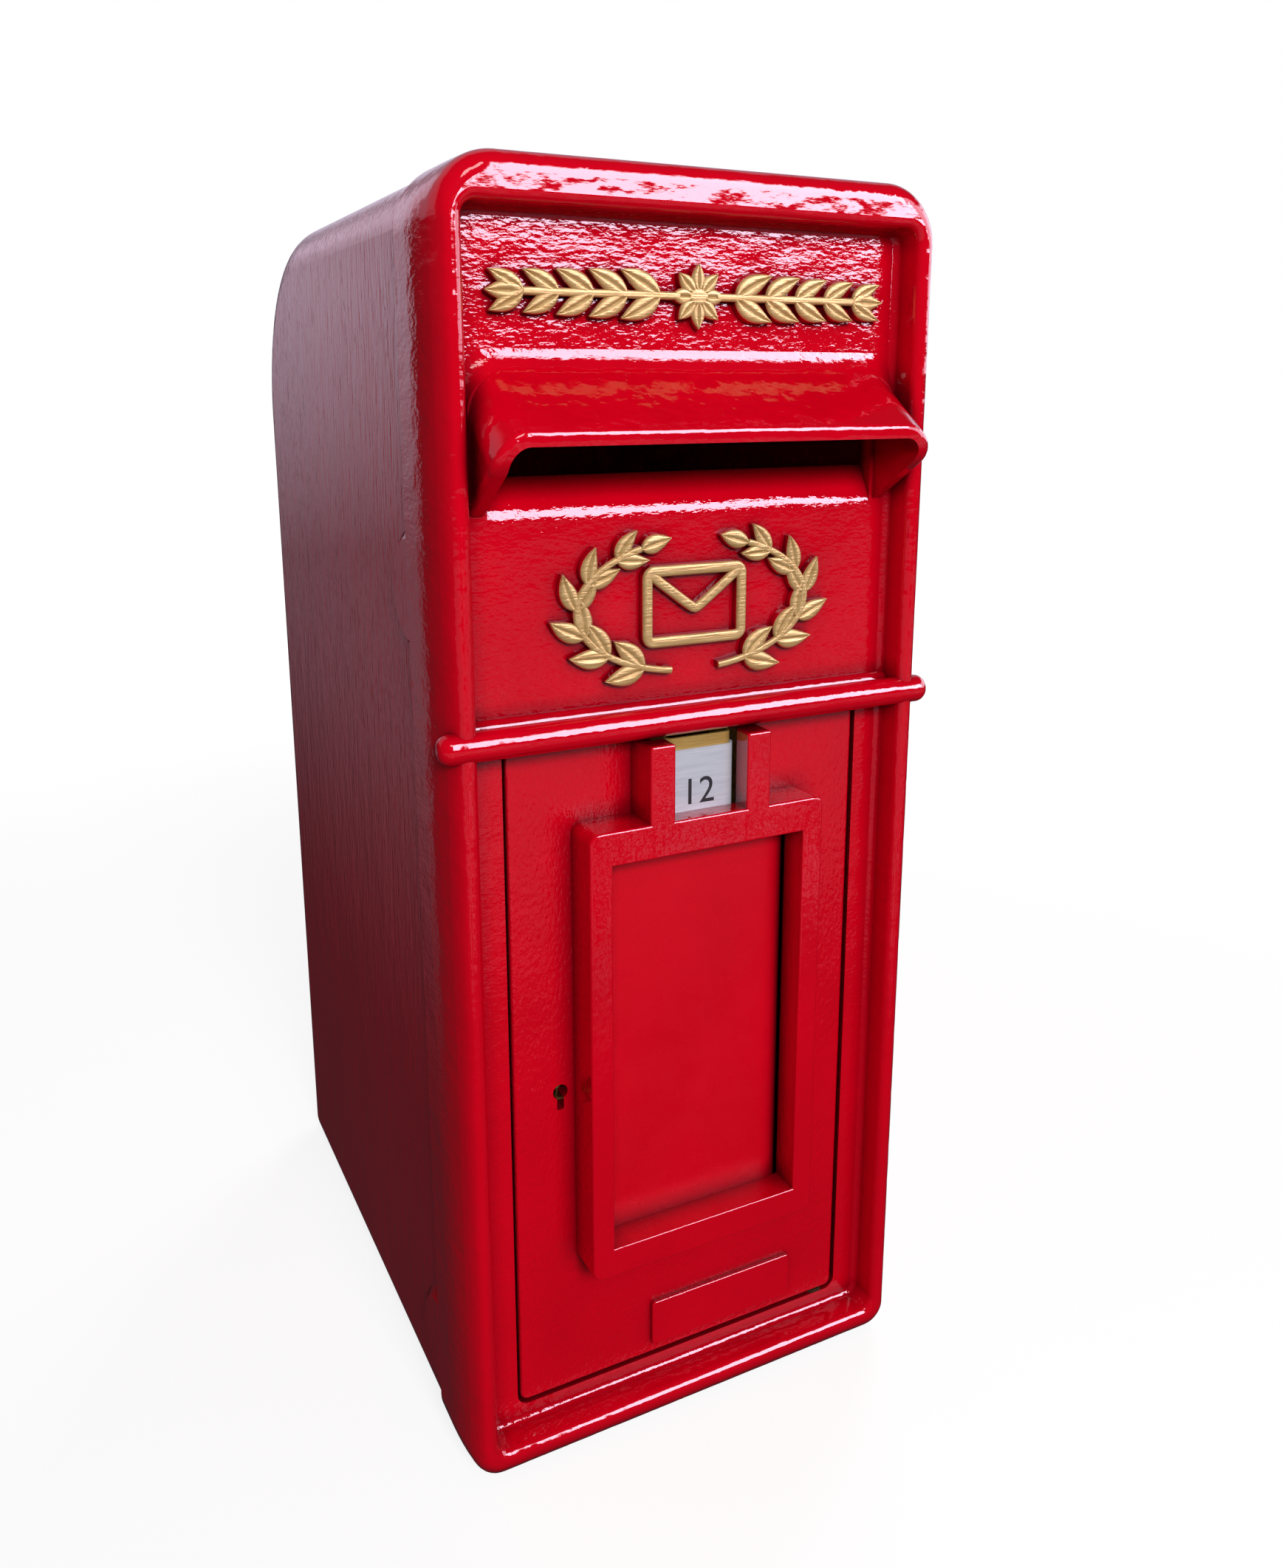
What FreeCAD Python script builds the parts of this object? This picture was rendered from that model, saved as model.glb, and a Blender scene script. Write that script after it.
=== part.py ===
import FreeCAD, Part
import math
import os
from FreeCAD import Vector

# A wall letter box in cast iron: a deep case, a front casting with a hooded slot and a ledge,
# and a locking door that carries a notice frame and a small tablet.
# Millimetres. X runs to the right seen from the front, Y to the back and Z up.
# The origin is on the base, under the middle of the object's own box.

# Front casting: outline, rim and panel
FRAME_WIDTH = 238.0
FRAME_HEIGHT = 580.0
FRAME_CORNER = 28.0
FRAME_FOOT_CORNER = 16.0
RIM_WIDTH = 14.5
RIM_TOP_WIDTH = 20.0
RIM_PROUD = 15.0
RIM_OUTER_ROUND = 8.5
RIM_SIDE_DEPTH = 30.0
RIM_INNER_ROUND = 4.0
RIM_LEAN = 1.5
RIM_FOOT_ROUND = 3.0
PANEL_CORNER = 6.0
PANEL_THICK = 8.0
LIP_DEPTH = 30.0

# Hooded slot, hung from the top of the frame
HOOD_DROP = 77.0
HOOD_MARGIN = 16.0
HOOD_REACH = 34.0
HOOD_FALL = 26.0
HOOD_HEIGHT = 60.0
HOOD_LIP_THICK = 5.5
HOOD_CHEEK = 7.0
HOOD_CHEEK_DROP = 12.0
HOOD_CHEEK_ROUND = 16.0
HOOD_ROOF = 9.0
HOOD_ROUND = 15.0
HOOD_EDGE_ROUND = 3.0
HOOD_FLARE = 5.5
HOOD_SIDE_FLARE = 2.5
SLOT_MARGIN = 9.0
SLOT_DROP = 13.0
SILL_RISE = 15.0
SILL_ROUND = 12.0

# Ledge over the door, hung from the top of the frame
LEDGE_DROP = 234.5
LEDGE_PROUD = 17.0
LEDGE_NOSE = 6.5
LEDGE_END_ROUND = 5.0
LEDGE_STEP = 4.5
LEDGE_STEP_RISE = 10.0
LEDGE_OVERHANG = 3.0

# Case behind the front
CASE_INSET = 2.5
CASE_REACH = 322.0
CASE_WALL = 4.5
CASE_TOP_GAP = 3.0
CASE_BACK_SWEEP = 100.0
CASE_EDGE_ROUND = 22.0
CASE_FOOT_ROUND = 12.5
JOINT_LAND = 4.0
SWELL_RADIUS = 25.5
SWELL_BEVEL = 4.0
WALL_HOLE = 9.0
WALL_HOLE_PITCH_X = 140.0
WALL_HOLE_PITCH_Z = 280.0

# Lugs and bolts that join the case and the front
LUG_LOW = 45.0
LUG_DROP = 169.0
LUG_WIDTH = 18.0
LUG_HEIGHT = 28.0
CASE_LUG_DEPTH = 14.0
BOLT_SIZE = 8.0
BOLT_GRIP = 16.0
BOLT_HEAD_ACROSS = 13.0
BOLT_HEAD_HEIGHT = 5.3
BOLT_CLEARANCE = 0.5
WASHER_OUTER = 16.0
WASHER_THICK = 1.6

# Door, with its notice frame and its stops placed from the door's own edges
STILE_WIDTH = 28.3
OPENING_LOW = 22.2
OPENING_CORNER = 6.0
DOOR_GAP = 1.5
DOOR_THICK = 8.0
DOOR_EDGE_ROUND = 2.0
NOTICE_MARGIN = 29.6
NOTICE_FOOT_MARGIN = 68.3
NOTICE_HEAD_MARGIN = 35.0
NOTICE_BAR = 10.7
NOTICE_FOOT_BAR = 14.6
NOTICE_HEAD_BAR = 15.5
NOTICE_PROUD = 20.0
NOTICE_CORNER = 5.0
NOTICE_EDGE_ROUND = 1.2
WINDOW_EDGE_ROUND = 0.8
WINDOW_DEPTH = 15.0
PLATE_LAP = 4.6
PLATE_SIDE_LAP = 1.6
PLATE_SHEET = 2.0
PLATE_BEND = 8.0
PLATE_CLEARANCE = 0.4
PLATE_SIDE_GAP = 3.0
PRONG_INNER = 18.2
PRONG_WIDTH = 12.2
PRONG_DEPTH = 10.0
PAD_LEFT = -20.0
PAD_WIDTH = 80.0
PAD_MARGIN = 6.3
PAD_HEIGHT = 24.0
PAD_PROUD = 2.5
PAD_CORNER = 2.0
STOP_MARGIN = 45.0
STOP_LENGTH = 24.0
STOP_LAP = 6.0
STOP_THICK = 6.0
STOP_CLEARANCE = 0.3

# Hinge pins in the door's edges
PIN_RADIUS = 2.5
PIN_INSET = 9.5
PIN_IN_DOOR = 16.0
PIN_IN_FRAME = 11.0
PIN_CLEARANCE = 0.05
KEEPER_WIDTH = 34.0
KEEPER_HEIGHT = 13.0
KEEPER_THICK = 3.0
KEEPER_SCREW_PITCH = 22.0
PIVOT_WASHER_RADIUS = 4.5
PIVOT_WASHER_CLEARANCE = 0.05

# Tablet and its holder
TABLET_WIDTH = 36.0
TABLET_DROP = 6.0
TABLET_HEIGHT = 34.6
TABLET_SHEET = 1.2
TABLET_BEND = 5.0
TABLET_SIDE = 8.0
TABLET_HOLLOW = 49.0
HOLDER_SHEET = 1.5
HOLDER_SLIP = 0.1
HOLDER_FOOT = 13.0
HOLDER_TOP_GAP = 1.0
HOLDER_SCREW_LIFT = 8.0

# Clips behind the notice plate
CLIP_SHEET = 1.5
CLIP_WIDTH = 14.0
CLIP_FOOT = 15.0
CLIP_TOE = 8.0
CLIP_MARGIN = 14.0

# Small screws
SCREW_RADIUS = 1.75
SCREW_HEAD_RADIUS = 3.4
SCREW_HEAD_HEIGHT = 2.2
SCREW_BITE = 5.0

# Lock
KEYHOLE_EDGE = 22.8
KEYHOLE_FALL = 2.85
KEYHOLE_RADIUS = 3.6
KEYHOLE_SLOT_WIDTH = 3.4
KEYHOLE_DROP = 9.0
LOCK_EDGE = 3.0
LOCK_WIDTH = 42.0
LOCK_LOW = 21.0
LOCK_HIGH = 31.0
LOCK_DEPTH = 14.0
LOCK_WALL = 2.0
LOCK_POST_INSET = 4.5
LOCK_POST_RADIUS = 3.5
LOCK_BOLT_RISE = 5.0
LOCK_BOLT_HEIGHT = 16.0
LOCK_BOLT_THICK = 6.0
LOCK_TAIL_GAP = 3.0
LOCK_THROW = 10.0
LOCK_SLIP = 0.3
TALON_RADIUS = 5.0
GUIDE_RADIUS = 2.2
GUIDE_RISE = 10.5
SPRING_SHEET = 0.5
SPRING_DEPTH = 4.0

# Places worked out from the sizes above
FACE = (HOOD_REACH - CASE_REACH) / 2
FRAME_HALF = FRAME_WIDTH / 2
HOOD_HALF = FRAME_HALF - HOOD_MARGIN
HOOD_ROOT = FRAME_HEIGHT - HOOD_DROP
HOOD_LIP = HOOD_ROOT - HOOD_FALL
HOOD_FOOT = HOOD_ROOT - HOOD_HEIGHT
LEDGE_UNDERSIDE = FRAME_HEIGHT - LEDGE_DROP
LUG_HEIGHTS = (LUG_LOW, FRAME_HEIGHT - LUG_DROP)
RIM_FRONT = FACE - RIM_PROUD
PANEL_BACK = FACE + PANEL_THICK
LIP_BACK = FACE + LIP_DEPTH
CASE_HALF = FRAME_HALF - CASE_INSET
CASE_TOP = FRAME_HEIGHT - CASE_TOP_GAP
CASE_BACK = FACE + CASE_REACH
OPENING_HALF = FRAME_HALF - STILE_WIDTH
DOOR_HALF = OPENING_HALF - DOOR_GAP
DOOR_LOW = OPENING_LOW + DOOR_GAP
DOOR_HIGH = LEDGE_UNDERSIDE - DOOR_GAP
DOOR_BACK = FACE + DOOR_THICK
STOP_HEIGHTS = (DOOR_LOW + STOP_MARGIN, DOOR_HIGH - STOP_MARGIN)
PIN_X = DOOR_HALF - PIN_INSET
PIN_Y = FACE + DOOR_THICK / 2
LUG_X = CASE_HALF - CASE_WALL - LUG_WIDTH / 2
NOTICE_HALF = DOOR_HALF - NOTICE_MARGIN
NOTICE_LOW = DOOR_LOW + NOTICE_FOOT_MARGIN
NOTICE_HIGH = DOOR_HIGH - NOTICE_HEAD_MARGIN
WINDOW_HALF = NOTICE_HALF - NOTICE_BAR
WINDOW_LOW = NOTICE_LOW + NOTICE_FOOT_BAR
WINDOW_HIGH = NOTICE_HIGH - NOTICE_HEAD_BAR
WINDOW_BACK = FACE - NOTICE_PROUD + WINDOW_DEPTH
PLATE_HALF = WINDOW_HALF + PLATE_SIDE_LAP
HOLLOW_HALF = PLATE_HALF + PLATE_SIDE_GAP
PRONG_BACK = FACE - NOTICE_PROUD + PRONG_DEPTH
TABLET_LOW = NOTICE_HIGH - TABLET_DROP
KEYHOLE_X = KEYHOLE_EDGE - DOOR_HALF
KEYHOLE_Z = (DOOR_LOW + DOOR_HIGH) / 2 - KEYHOLE_FALL
LOCK_LEFT = -DOOR_HALF + LOCK_EDGE
LOCK_RIGHT = LOCK_LEFT + LOCK_WIDTH
LOCK_BOTTOM = KEYHOLE_Z - LOCK_LOW
LOCK_TOP = KEYHOLE_Z + LOCK_HIGH
LOCK_BACK = DOOR_BACK + LOCK_DEPTH
BOLT_LOW = KEYHOLE_Z + LOCK_BOLT_RISE
BOLT_HIGH = BOLT_LOW + LOCK_BOLT_HEIGHT
BOLT_FRONT = DOOR_BACK + LOCK_WALL + LOCK_SLIP
BOLT_TAIL = LOCK_RIGHT - LOCK_WALL - LOCK_TAIL_GAP

X_AXIS = Vector(1, 0, 0)
Y_AXIS = Vector(0, 1, 0)
Z_AXIS = Vector(0, 0, 1)

# Working allowances: how close is a match, how far a cut runs past, the lean that still counts as level,
# and the sections of a lofted round
NEAR = 0.01
PAST = 1.0
LEVEL = 0.1
LOFT_STEPS = 8


# Building blocks

def block(x0, x1, y0, y1, z0, z1):
    """Square block between two corners."""
    return Part.makeBox(x1 - x0, y1 - y0, z1 - z0, Vector(x0, y0, z0))


def rod(start, axis, radius, length):
    """Round bar from a start point along an axis."""
    return Part.makeCylinder(radius, length, start, axis)


def outline(corners, place):
    """Closed wire through corners (u, v, round): straight runs, with a tangent arc at a rounded corner."""
    points = [Vector(u, v, 0) for u, v, _ in corners]
    bends = []
    for i, (_, _, radius) in enumerate(corners):
        here = points[i]
        back = (points[i - 1] - here).normalize()
        on = (points[(i + 1) % len(points)] - here).normalize()
        half = back.getAngle(on) / 2
        reach = radius / math.tan(half)
        middle = here + (back + on).normalize() * (radius / math.sin(half) - radius)
        bends.append((here + back * reach, middle, here + on * reach))
    edges = []
    for i, (start, middle, end) in enumerate(bends):
        if (end - start).Length > NEAR:
            edges.append(Part.Arc(place(start), place(middle), place(end)).toShape())
        after = bends[(i + 1) % len(bends)][0]
        if (after - end).Length > NEAR:
            edges.append(Part.LineSegment(place(end), place(after)).toShape())
    return Part.Wire(edges)


def side_solid(corners, x0, x1):
    """Side outline in (y, z) carried across from x0 to x1."""
    wire = outline(corners, lambda p: Vector(x0, p.x, p.y))
    return Part.Face(wire).extrude(X_AXIS * (x1 - x0))


def front_solid(corners, y0, y1):
    """Front outline in (x, z) carried back from y0 to y1."""
    wire = outline(corners, lambda p: Vector(p.x, y0, p.y))
    return Part.Face(wire).extrude(Y_AXIS * (y1 - y0))


def plan_solid(corners, z0, z1):
    """Plan outline in (x, y) carried up from z0 to z1."""
    wire = outline(corners, lambda p: Vector(p.x, p.y, z0))
    return Part.Face(wire).extrude(Z_AXIS * (z1 - z0))


def rectangle(u0, u1, v0, v1, low_round=0.0, high_round=0.0):
    """Corners of a rectangle with its lower and its upper pair rounded."""
    return [(u0, v0, low_round), (u1, v0, low_round), (u1, v1, high_round), (u0, v1, high_round)]


def edges_in_plane(shape, axis, value):
    """Edges that lie wholly in the plane where the named coordinate has this value."""
    found = []
    for edge in shape.Edges:
        box = edge.BoundBox
        low = getattr(box, axis + "Min")
        high = getattr(box, axis + "Max")
        if abs(low - value) < NEAR and abs(high - value) < NEAR:
            found.append(edge)
    return found


def mirrored(shape):
    """The same piece on the other side of the middle plane."""
    return shape.mirror(Vector(0, 0, 0), X_AXIS)


def both_sides(shape):
    return [shape, mirrored(shape)]


def small_screw(tip, head_seat):
    """Pan-head screw whose shank runs back from its tip to the seat under its head."""
    shank = rod(tip, Y_AXIS, SCREW_RADIUS, head_seat - tip.y)
    head = rod(Vector(tip.x, head_seat, tip.z), Y_AXIS, SCREW_HEAD_RADIUS, SCREW_HEAD_HEIGHT)
    rim = edges_in_plane(head, "Y", head_seat + SCREW_HEAD_HEIGHT)
    slot = block(tip.x - SCREW_HEAD_RADIUS, tip.x + SCREW_HEAD_RADIUS,
                 head_seat + SCREW_HEAD_HEIGHT / 2, head_seat + 2 * SCREW_HEAD_HEIGHT,
                 tip.z - SCREW_RADIUS / 4, tip.z + SCREW_RADIUS / 4)
    return shank.fuse(head.makeFillet(SCREW_HEAD_HEIGHT / 3, rim)).cut(slot).removeSplitter()


def screw_hole(tip):
    """Blind hole that a small screw fills, from its tip to past the surface behind it."""
    return rod(tip, Y_AXIS, SCREW_RADIUS, 2 * SCREW_BITE)


# Front casting

def quarter_turn():
    """Even steps from nothing to a right angle, for the sections of a lofted round."""
    return [math.pi / 2 * step / LOFT_STEPS for step in range(LOFT_STEPS + 1)]


def frame_corners(side, end):
    """Outline of the front casting, drawn in at its sides and at its ends."""
    half = FRAME_HALF - side
    return rectangle(-half, half, end, FRAME_HEIGHT - end, FRAME_FOOT_CORNER - side, FRAME_CORNER - side)


def rim_round():
    """Outer round of the rim, a circle at the ends and a longer ellipse at the sides, lofted in two stretches."""
    sections = []
    for angle in quarter_turn():
        depth = RIM_SIDE_DEPTH * (1 - math.sin(angle))
        side = RIM_OUTER_ROUND * (1 - math.cos(angle))
        short = max(RIM_OUTER_ROUND - depth, 0)
        end = RIM_OUTER_ROUND - math.sqrt(RIM_OUTER_ROUND ** 2 - short ** 2)
        sections.append(outline(frame_corners(side, end), lambda p, y=RIM_FRONT + depth: Vector(p.x, y, p.y)))
    middle = LOFT_STEPS // 2
    back = Part.makeLoft(sections[:middle + 1], True, False)
    return back.fuse(Part.makeLoft(sections[middle:], True, False))


def recess_corners(grow):
    """Edge of the panel inside the rim, grown outwards as the rim's inner wall leans."""
    half = FRAME_HALF - RIM_WIDTH + grow
    high = FRAME_HEIGHT - RIM_TOP_WIDTH + grow
    return rectangle(-half, half, RIM_WIDTH - grow, high, PANEL_CORNER, PANEL_CORNER)


def rim_and_panel():
    """Rounded rim round a flat panel, with a lip behind that meets the case."""
    body = rim_round().fuse(front_solid(frame_corners(0, 0), RIM_FRONT + RIM_SIDE_DEPTH, LIP_BACK))
    foot = outline(recess_corners(0), lambda p: Vector(p.x, FACE, p.y))
    mouth = outline(recess_corners(RIM_LEAN), lambda p: Vector(p.x, RIM_FRONT, p.y))
    body = body.cut(Part.makeLoft([foot, mouth], True, True))
    reach = FRAME_HALF - RIM_OUTER_ROUND - NEAR
    crest = [e for e in edges_in_plane(body, "Y", RIM_FRONT) if e.BoundBox.XMax < reach
             and e.BoundBox.XMin > -reach and e.BoundBox.ZMax < FRAME_HEIGHT - RIM_OUTER_ROUND - NEAR
             and e.BoundBox.ZMin > RIM_OUTER_ROUND + NEAR]
    body = body.makeFillet(RIM_INNER_ROUND, crest)
    body = body.makeFillet(RIM_FOOT_ROUND, edges_in_plane(body, "Y", FACE))
    inner = rectangle(-CASE_HALF + JOINT_LAND, CASE_HALF - JOINT_LAND, JOINT_LAND, CASE_TOP - JOINT_LAND,
                      CASE_FOOT_ROUND - JOINT_LAND, CASE_EDGE_ROUND - JOINT_LAND)
    return body.cut(front_solid(inner, PANEL_BACK, LIP_BACK + JOINT_LAND))


def hood_block():
    """Outside of the hood, still solid: a sloping roof, cheeks with a bowed front, and a soft front edge."""
    lip = FACE - HOOD_REACH
    anchor = FACE + PANEL_THICK / 2
    cheek_low = HOOD_LIP - HOOD_CHEEK_DROP
    slope = (cheek_low - HOOD_FOOT) / HOOD_REACH
    form = side_solid([(anchor, HOOD_FOOT - slope * (anchor - FACE), 0), (lip, cheek_low, HOOD_CHEEK_ROUND),
                       (lip, HOOD_LIP, 0), (FACE, HOOD_ROOT, 0), (anchor, HOOD_ROOT, 0)], -HOOD_HALF, HOOD_HALF)
    form = form.makeFillet(HOOD_ROUND, roof_edges(form, HOOD_HALF))
    return form.makeFillet(HOOD_EDGE_ROUND, front_edges(form))


def hood_flare():
    """Hollow round that spreads the hood's root over the panel: wide above the roof, narrow beside the cheeks.
    Front sections at steps of a quarter circle are lofted into one skin."""
    slope = (HOOD_ROOT - HOOD_LIP) / HOOD_REACH
    low = HOOD_FOOT + HOOD_FLARE
    share = HOOD_SIDE_FLARE / HOOD_FLARE
    sections = []
    for angle in quarter_turn():
        out = HOOD_FLARE * (1 - math.cos(angle))
        spread = HOOD_FLARE * (1 - math.sin(angle)) - NEAR
        half = HOOD_HALF + share * spread
        corners = rectangle(-half, half, low, HOOD_ROOT - slope * out + spread, 0, HOOD_ROUND)
        sections.append(outline(corners, lambda p, y=FACE - out: Vector(p.x, y, p.y)))
    foot = front_solid(rectangle(-HOOD_HALF - HOOD_SIDE_FLARE, HOOD_HALF + HOOD_SIDE_FLARE, low,
                                 HOOD_ROOT + HOOD_FLARE, 0, HOOD_ROUND), FACE, FACE + PAST)
    return Part.makeLoft(sections, True, False).fuse(foot)


def hood():
    """Sloping roof with cheeks over the slot, open below and in front."""
    lip = FACE - HOOD_REACH
    inner_half = HOOD_HALF - HOOD_CHEEK
    inner_root = HOOD_ROOT - HOOD_ROOF
    inner_lip = HOOD_LIP - HOOD_LIP_THICK
    fall = (inner_root - inner_lip) / HOOD_REACH
    past = lip - HOOD_ROOF
    below = HOOD_FOOT - HOOD_ROOF
    space = side_solid([(FACE, below, 0), (past, below, 0), (past, inner_root - fall * (FACE - past), 0),
                        (FACE, inner_root, 0)], -inner_half, inner_half)
    space = space.makeFillet(HOOD_ROUND - HOOD_CHEEK, roof_edges(space, inner_half))
    return hood_block().fuse(hood_flare()).cut(space)


def roof_edges(shape, half):
    """The two sloping edges where a hood's roof meets its cheeks."""
    found = []
    for side in (-half, half):
        edges = edges_in_plane(shape, "X", side)
        sloping = [e for e in edges if e.BoundBox.YLength > NEAR and e.BoundBox.ZLength > NEAR]
        found.append(max(sloping, key=lambda e: e.BoundBox.Center.z))
    return found


def front_edges(shape):
    """Edges all along the front of the hood, up one cheek, over the lip and down the other: the border of
    the faces that look forward and not up."""
    fronts = []
    for face in shape.Faces:
        normal = face.normalAt(*face.Surface.parameter(face.CenterOfMass))
        if normal.y < -LEVEL and normal.z < LEVEL:
            fronts += face.Edges
    marks = [edge.hashCode() for edge in fronts]
    return [e for e in fronts if marks.count(e.hashCode()) == 1 and e.BoundBox.YMin < FACE]


def slot_cut():
    """Way in through the panel, with a sill that rises towards the back."""
    half = HOOD_HALF - SLOT_MARGIN
    high = HOOD_ROOT - SLOT_DROP
    rise = SILL_RISE / PANEL_THICK * PAST
    front = FACE - PAST
    back = PANEL_BACK + PAST
    return side_solid([(front, HOOD_FOOT - rise, 0), (back, HOOD_FOOT + SILL_RISE + rise, 0),
                       (back, high, 0), (front, high, 0)], -half, half)


def ledge():
    """Round-nosed ledge with a smaller quarter-round step above it."""
    reach = FRAME_HALF + LEDGE_OVERHANG
    nose_y = FACE - LEDGE_PROUD + LEDGE_NOSE
    nose_z = LEDGE_UNDERSIDE + LEDGE_NOSE
    nose = rod(Vector(-reach, nose_y, nose_z), X_AXIS, LEDGE_NOSE, 2 * reach)
    ends = edges_in_plane(nose, "X", -reach) + edges_in_plane(nose, "X", reach)
    nose = nose.makeFillet(LEDGE_END_ROUND, ends)
    inside = FRAME_HALF - RIM_WIDTH / 2
    step_z = LEDGE_UNDERSIDE + LEDGE_STEP_RISE
    web = block(-inside, inside, nose_y, FACE + PANEL_THICK / 2, LEDGE_UNDERSIDE, step_z)
    step = rod(Vector(-inside, FACE, step_z), X_AXIS, LEDGE_STEP, 2 * inside)
    step = step.cut(block(-inside, inside, FACE, FACE + LEDGE_STEP, LEDGE_UNDERSIDE, FRAME_HEIGHT))
    return nose.fuse([web, step])


def frame_lug(height):
    """Square lug behind the rim, tapped for a bolt."""
    half = LUG_HEIGHT / 2
    lug = block(LUG_X - LUG_WIDTH / 2, CASE_HALF - JOINT_LAND / 2, PANEL_BACK - PANEL_THICK / 2, LIP_BACK,
                height - half, height + half)
    bore = rod(Vector(LUG_X, LIP_BACK - BOLT_GRIP, height), Y_AXIS, BOLT_SIZE / 2, BOLT_GRIP + PAST)
    return lug, bore


def door_stop(height):
    """Lug behind the lock side of the opening that the closed door rests against."""
    front = DOOR_BACK + STOP_CLEARANCE
    low = height - STOP_LENGTH / 2
    high = height + STOP_LENGTH / 2
    root = block(-FRAME_HALF + RIM_WIDTH, -OPENING_HALF, PANEL_BACK - NEAR, front + STOP_THICK, low, high)
    tongue = block(-OPENING_HALF - NEAR, -DOOR_HALF + STOP_LAP, front, front + STOP_THICK, low, high)
    return root.fuse(tongue)


def pin_seat(low):
    """Open slot from the back of the casting to the round seat of a hinge pin."""
    radius = PIN_RADIUS + PIN_CLEARANCE
    seat = rod(Vector(PIN_X, PIN_Y, low), Z_AXIS, radius, PIN_IN_FRAME)
    return seat.fuse(block(PIN_X - radius, PIN_X + radius, PIN_Y, PANEL_BACK + PAST, low, low + PIN_IN_FRAME))


def keeper_low(is_upper):
    """Lower edge of a hinge keeper: flush with the edge of the opening beside it."""
    return LEDGE_UNDERSIDE if is_upper else OPENING_LOW - KEEPER_HEIGHT


def keeper_screw_tips():
    tips = []
    for is_upper in (True, False):
        middle = keeper_low(is_upper) + KEEPER_HEIGHT / 2
        for side in (-1, 1):
            x = PIN_X + side * KEEPER_SCREW_PITCH / 2
            tips.append(Vector(x, PANEL_BACK - SCREW_BITE, middle))
    return tips


def front_casting():
    """Rim, panel, hooded slot and ledge in one casting, with the lugs and seats behind them."""
    body = rim_and_panel()
    body = body.fuse([hood(), ledge()])
    opening = rectangle(-OPENING_HALF, OPENING_HALF, OPENING_LOW, LEDGE_UNDERSIDE, OPENING_CORNER, 0)
    cuts = [slot_cut(), front_solid(opening, FACE - PAST, PANEL_BACK + PAST)]
    lugs = [door_stop(height) for height in STOP_HEIGHTS]
    for height in LUG_HEIGHTS:
        lug, bore = frame_lug(height)
        lugs += both_sides(lug)
        cuts += both_sides(bore)
    cuts += [pin_seat(LEDGE_UNDERSIDE), pin_seat(OPENING_LOW - PIN_IN_FRAME)]
    cuts += [screw_hole(tip) for tip in keeper_screw_tips()]
    body = body.fuse(lugs).cut(cuts).removeSplitter()
    sill = [e for e in edges_in_plane(body, "Y", FACE) if e.BoundBox.XLength > HOOD_HALF
            and abs(e.BoundBox.ZMin - HOOD_FOOT) < NEAR and abs(e.BoundBox.ZMax - HOOD_FOOT) < NEAR]
    return body.makeFillet(SILL_ROUND, sill)


# Case

def case_form(inset):
    """Deep round-topped block, swept over at the upper back, drawn in all round by the inset."""
    half = CASE_HALF - inset
    back = CASE_BACK - inset
    top = CASE_TOP - inset
    sides = side_solid([(LIP_BACK, inset, 0), (back, inset, 0), (back, top, CASE_BACK_SWEEP - inset),
                        (LIP_BACK, top, 0)], -half, half)
    long_edges = []
    for side in (-half, half):
        for edge in edges_in_plane(sides, "X", side):
            at_front = edge.BoundBox.YMax < LIP_BACK + NEAR
            at_foot = edge.BoundBox.ZMax < inset + NEAR
            if not at_front and not at_foot:
                long_edges.append(edge)
    rounded = sides.makeFillet(CASE_EDGE_ROUND - inset, long_edges)
    foot = [e for e in edges_in_plane(rounded, "Z", inset) if e.BoundBox.YMax > LIP_BACK + NEAR]
    return rounded.makeFillet(CASE_FOOT_ROUND - inset, foot)


def swelling(height):
    """Low bevelled swelling on the case's side, over the lug inside: half a round, flush with the front's lip."""
    root = Vector(CASE_HALF - CASE_INSET, LIP_BACK, height)
    cone = Part.makeCone(SWELL_RADIUS + SWELL_BEVEL, SWELL_RADIUS - SWELL_BEVEL, 2 * CASE_INSET, root, X_AXIS)
    ahead = block(0, FRAME_HALF + CASE_INSET, FACE, LIP_BACK, 0, FRAME_HEIGHT)
    return cone.cut(ahead)


def case_lug(height):
    """Square lug inside the case's front edge, drilled for a bolt."""
    half = LUG_HEIGHT / 2
    lug = block(LUG_X - LUG_WIDTH / 2, CASE_HALF - CASE_WALL / 2, LIP_BACK, LIP_BACK + CASE_LUG_DEPTH,
                height - half, height + half)
    bore = rod(Vector(LUG_X, LIP_BACK - PAST, height), Y_AXIS, (BOLT_SIZE + BOLT_CLEARANCE) / 2,
               CASE_LUG_DEPTH + 2 * PAST)
    return lug, bore


def body_shell():
    added = []
    cuts = []
    for height in LUG_HEIGHTS:
        lug, bore = case_lug(height)
        added += both_sides(swelling(height)) + both_sides(lug)
        cuts += both_sides(bore)
    for x in (-WALL_HOLE_PITCH_X / 2, WALL_HOLE_PITCH_X / 2):
        for z in (-WALL_HOLE_PITCH_Z / 2, WALL_HOLE_PITCH_Z / 2):
            start = Vector(x, CASE_BACK - 2 * CASE_WALL, FRAME_HEIGHT / 2 + z)
            cuts.append(rod(start, Y_AXIS, WALL_HOLE / 2, 3 * CASE_WALL))
    inside = case_form(CASE_WALL)
    shell = case_form(0).cut(inside)
    return shell.fuse(added).cut(cuts).removeSplitter()


def frame_bolt(x, height):
    """Hexagon-head bolt from the case's lug forward into the front casting."""
    tip = LIP_BACK - BOLT_GRIP
    seat = LIP_BACK + CASE_LUG_DEPTH + WASHER_THICK
    radius = BOLT_HEAD_ACROSS / math.sqrt(3)
    turns = [math.radians(60 * i) for i in range(6)]
    hexagon = [(x + radius * math.cos(turn), height + radius * math.sin(turn), 0) for turn in turns]
    head = front_solid(hexagon, seat, seat + BOLT_HEAD_HEIGHT)
    return rod(Vector(x, tip, height), Y_AXIS, BOLT_SIZE / 2, seat - tip).fuse(head).removeSplitter()


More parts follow.
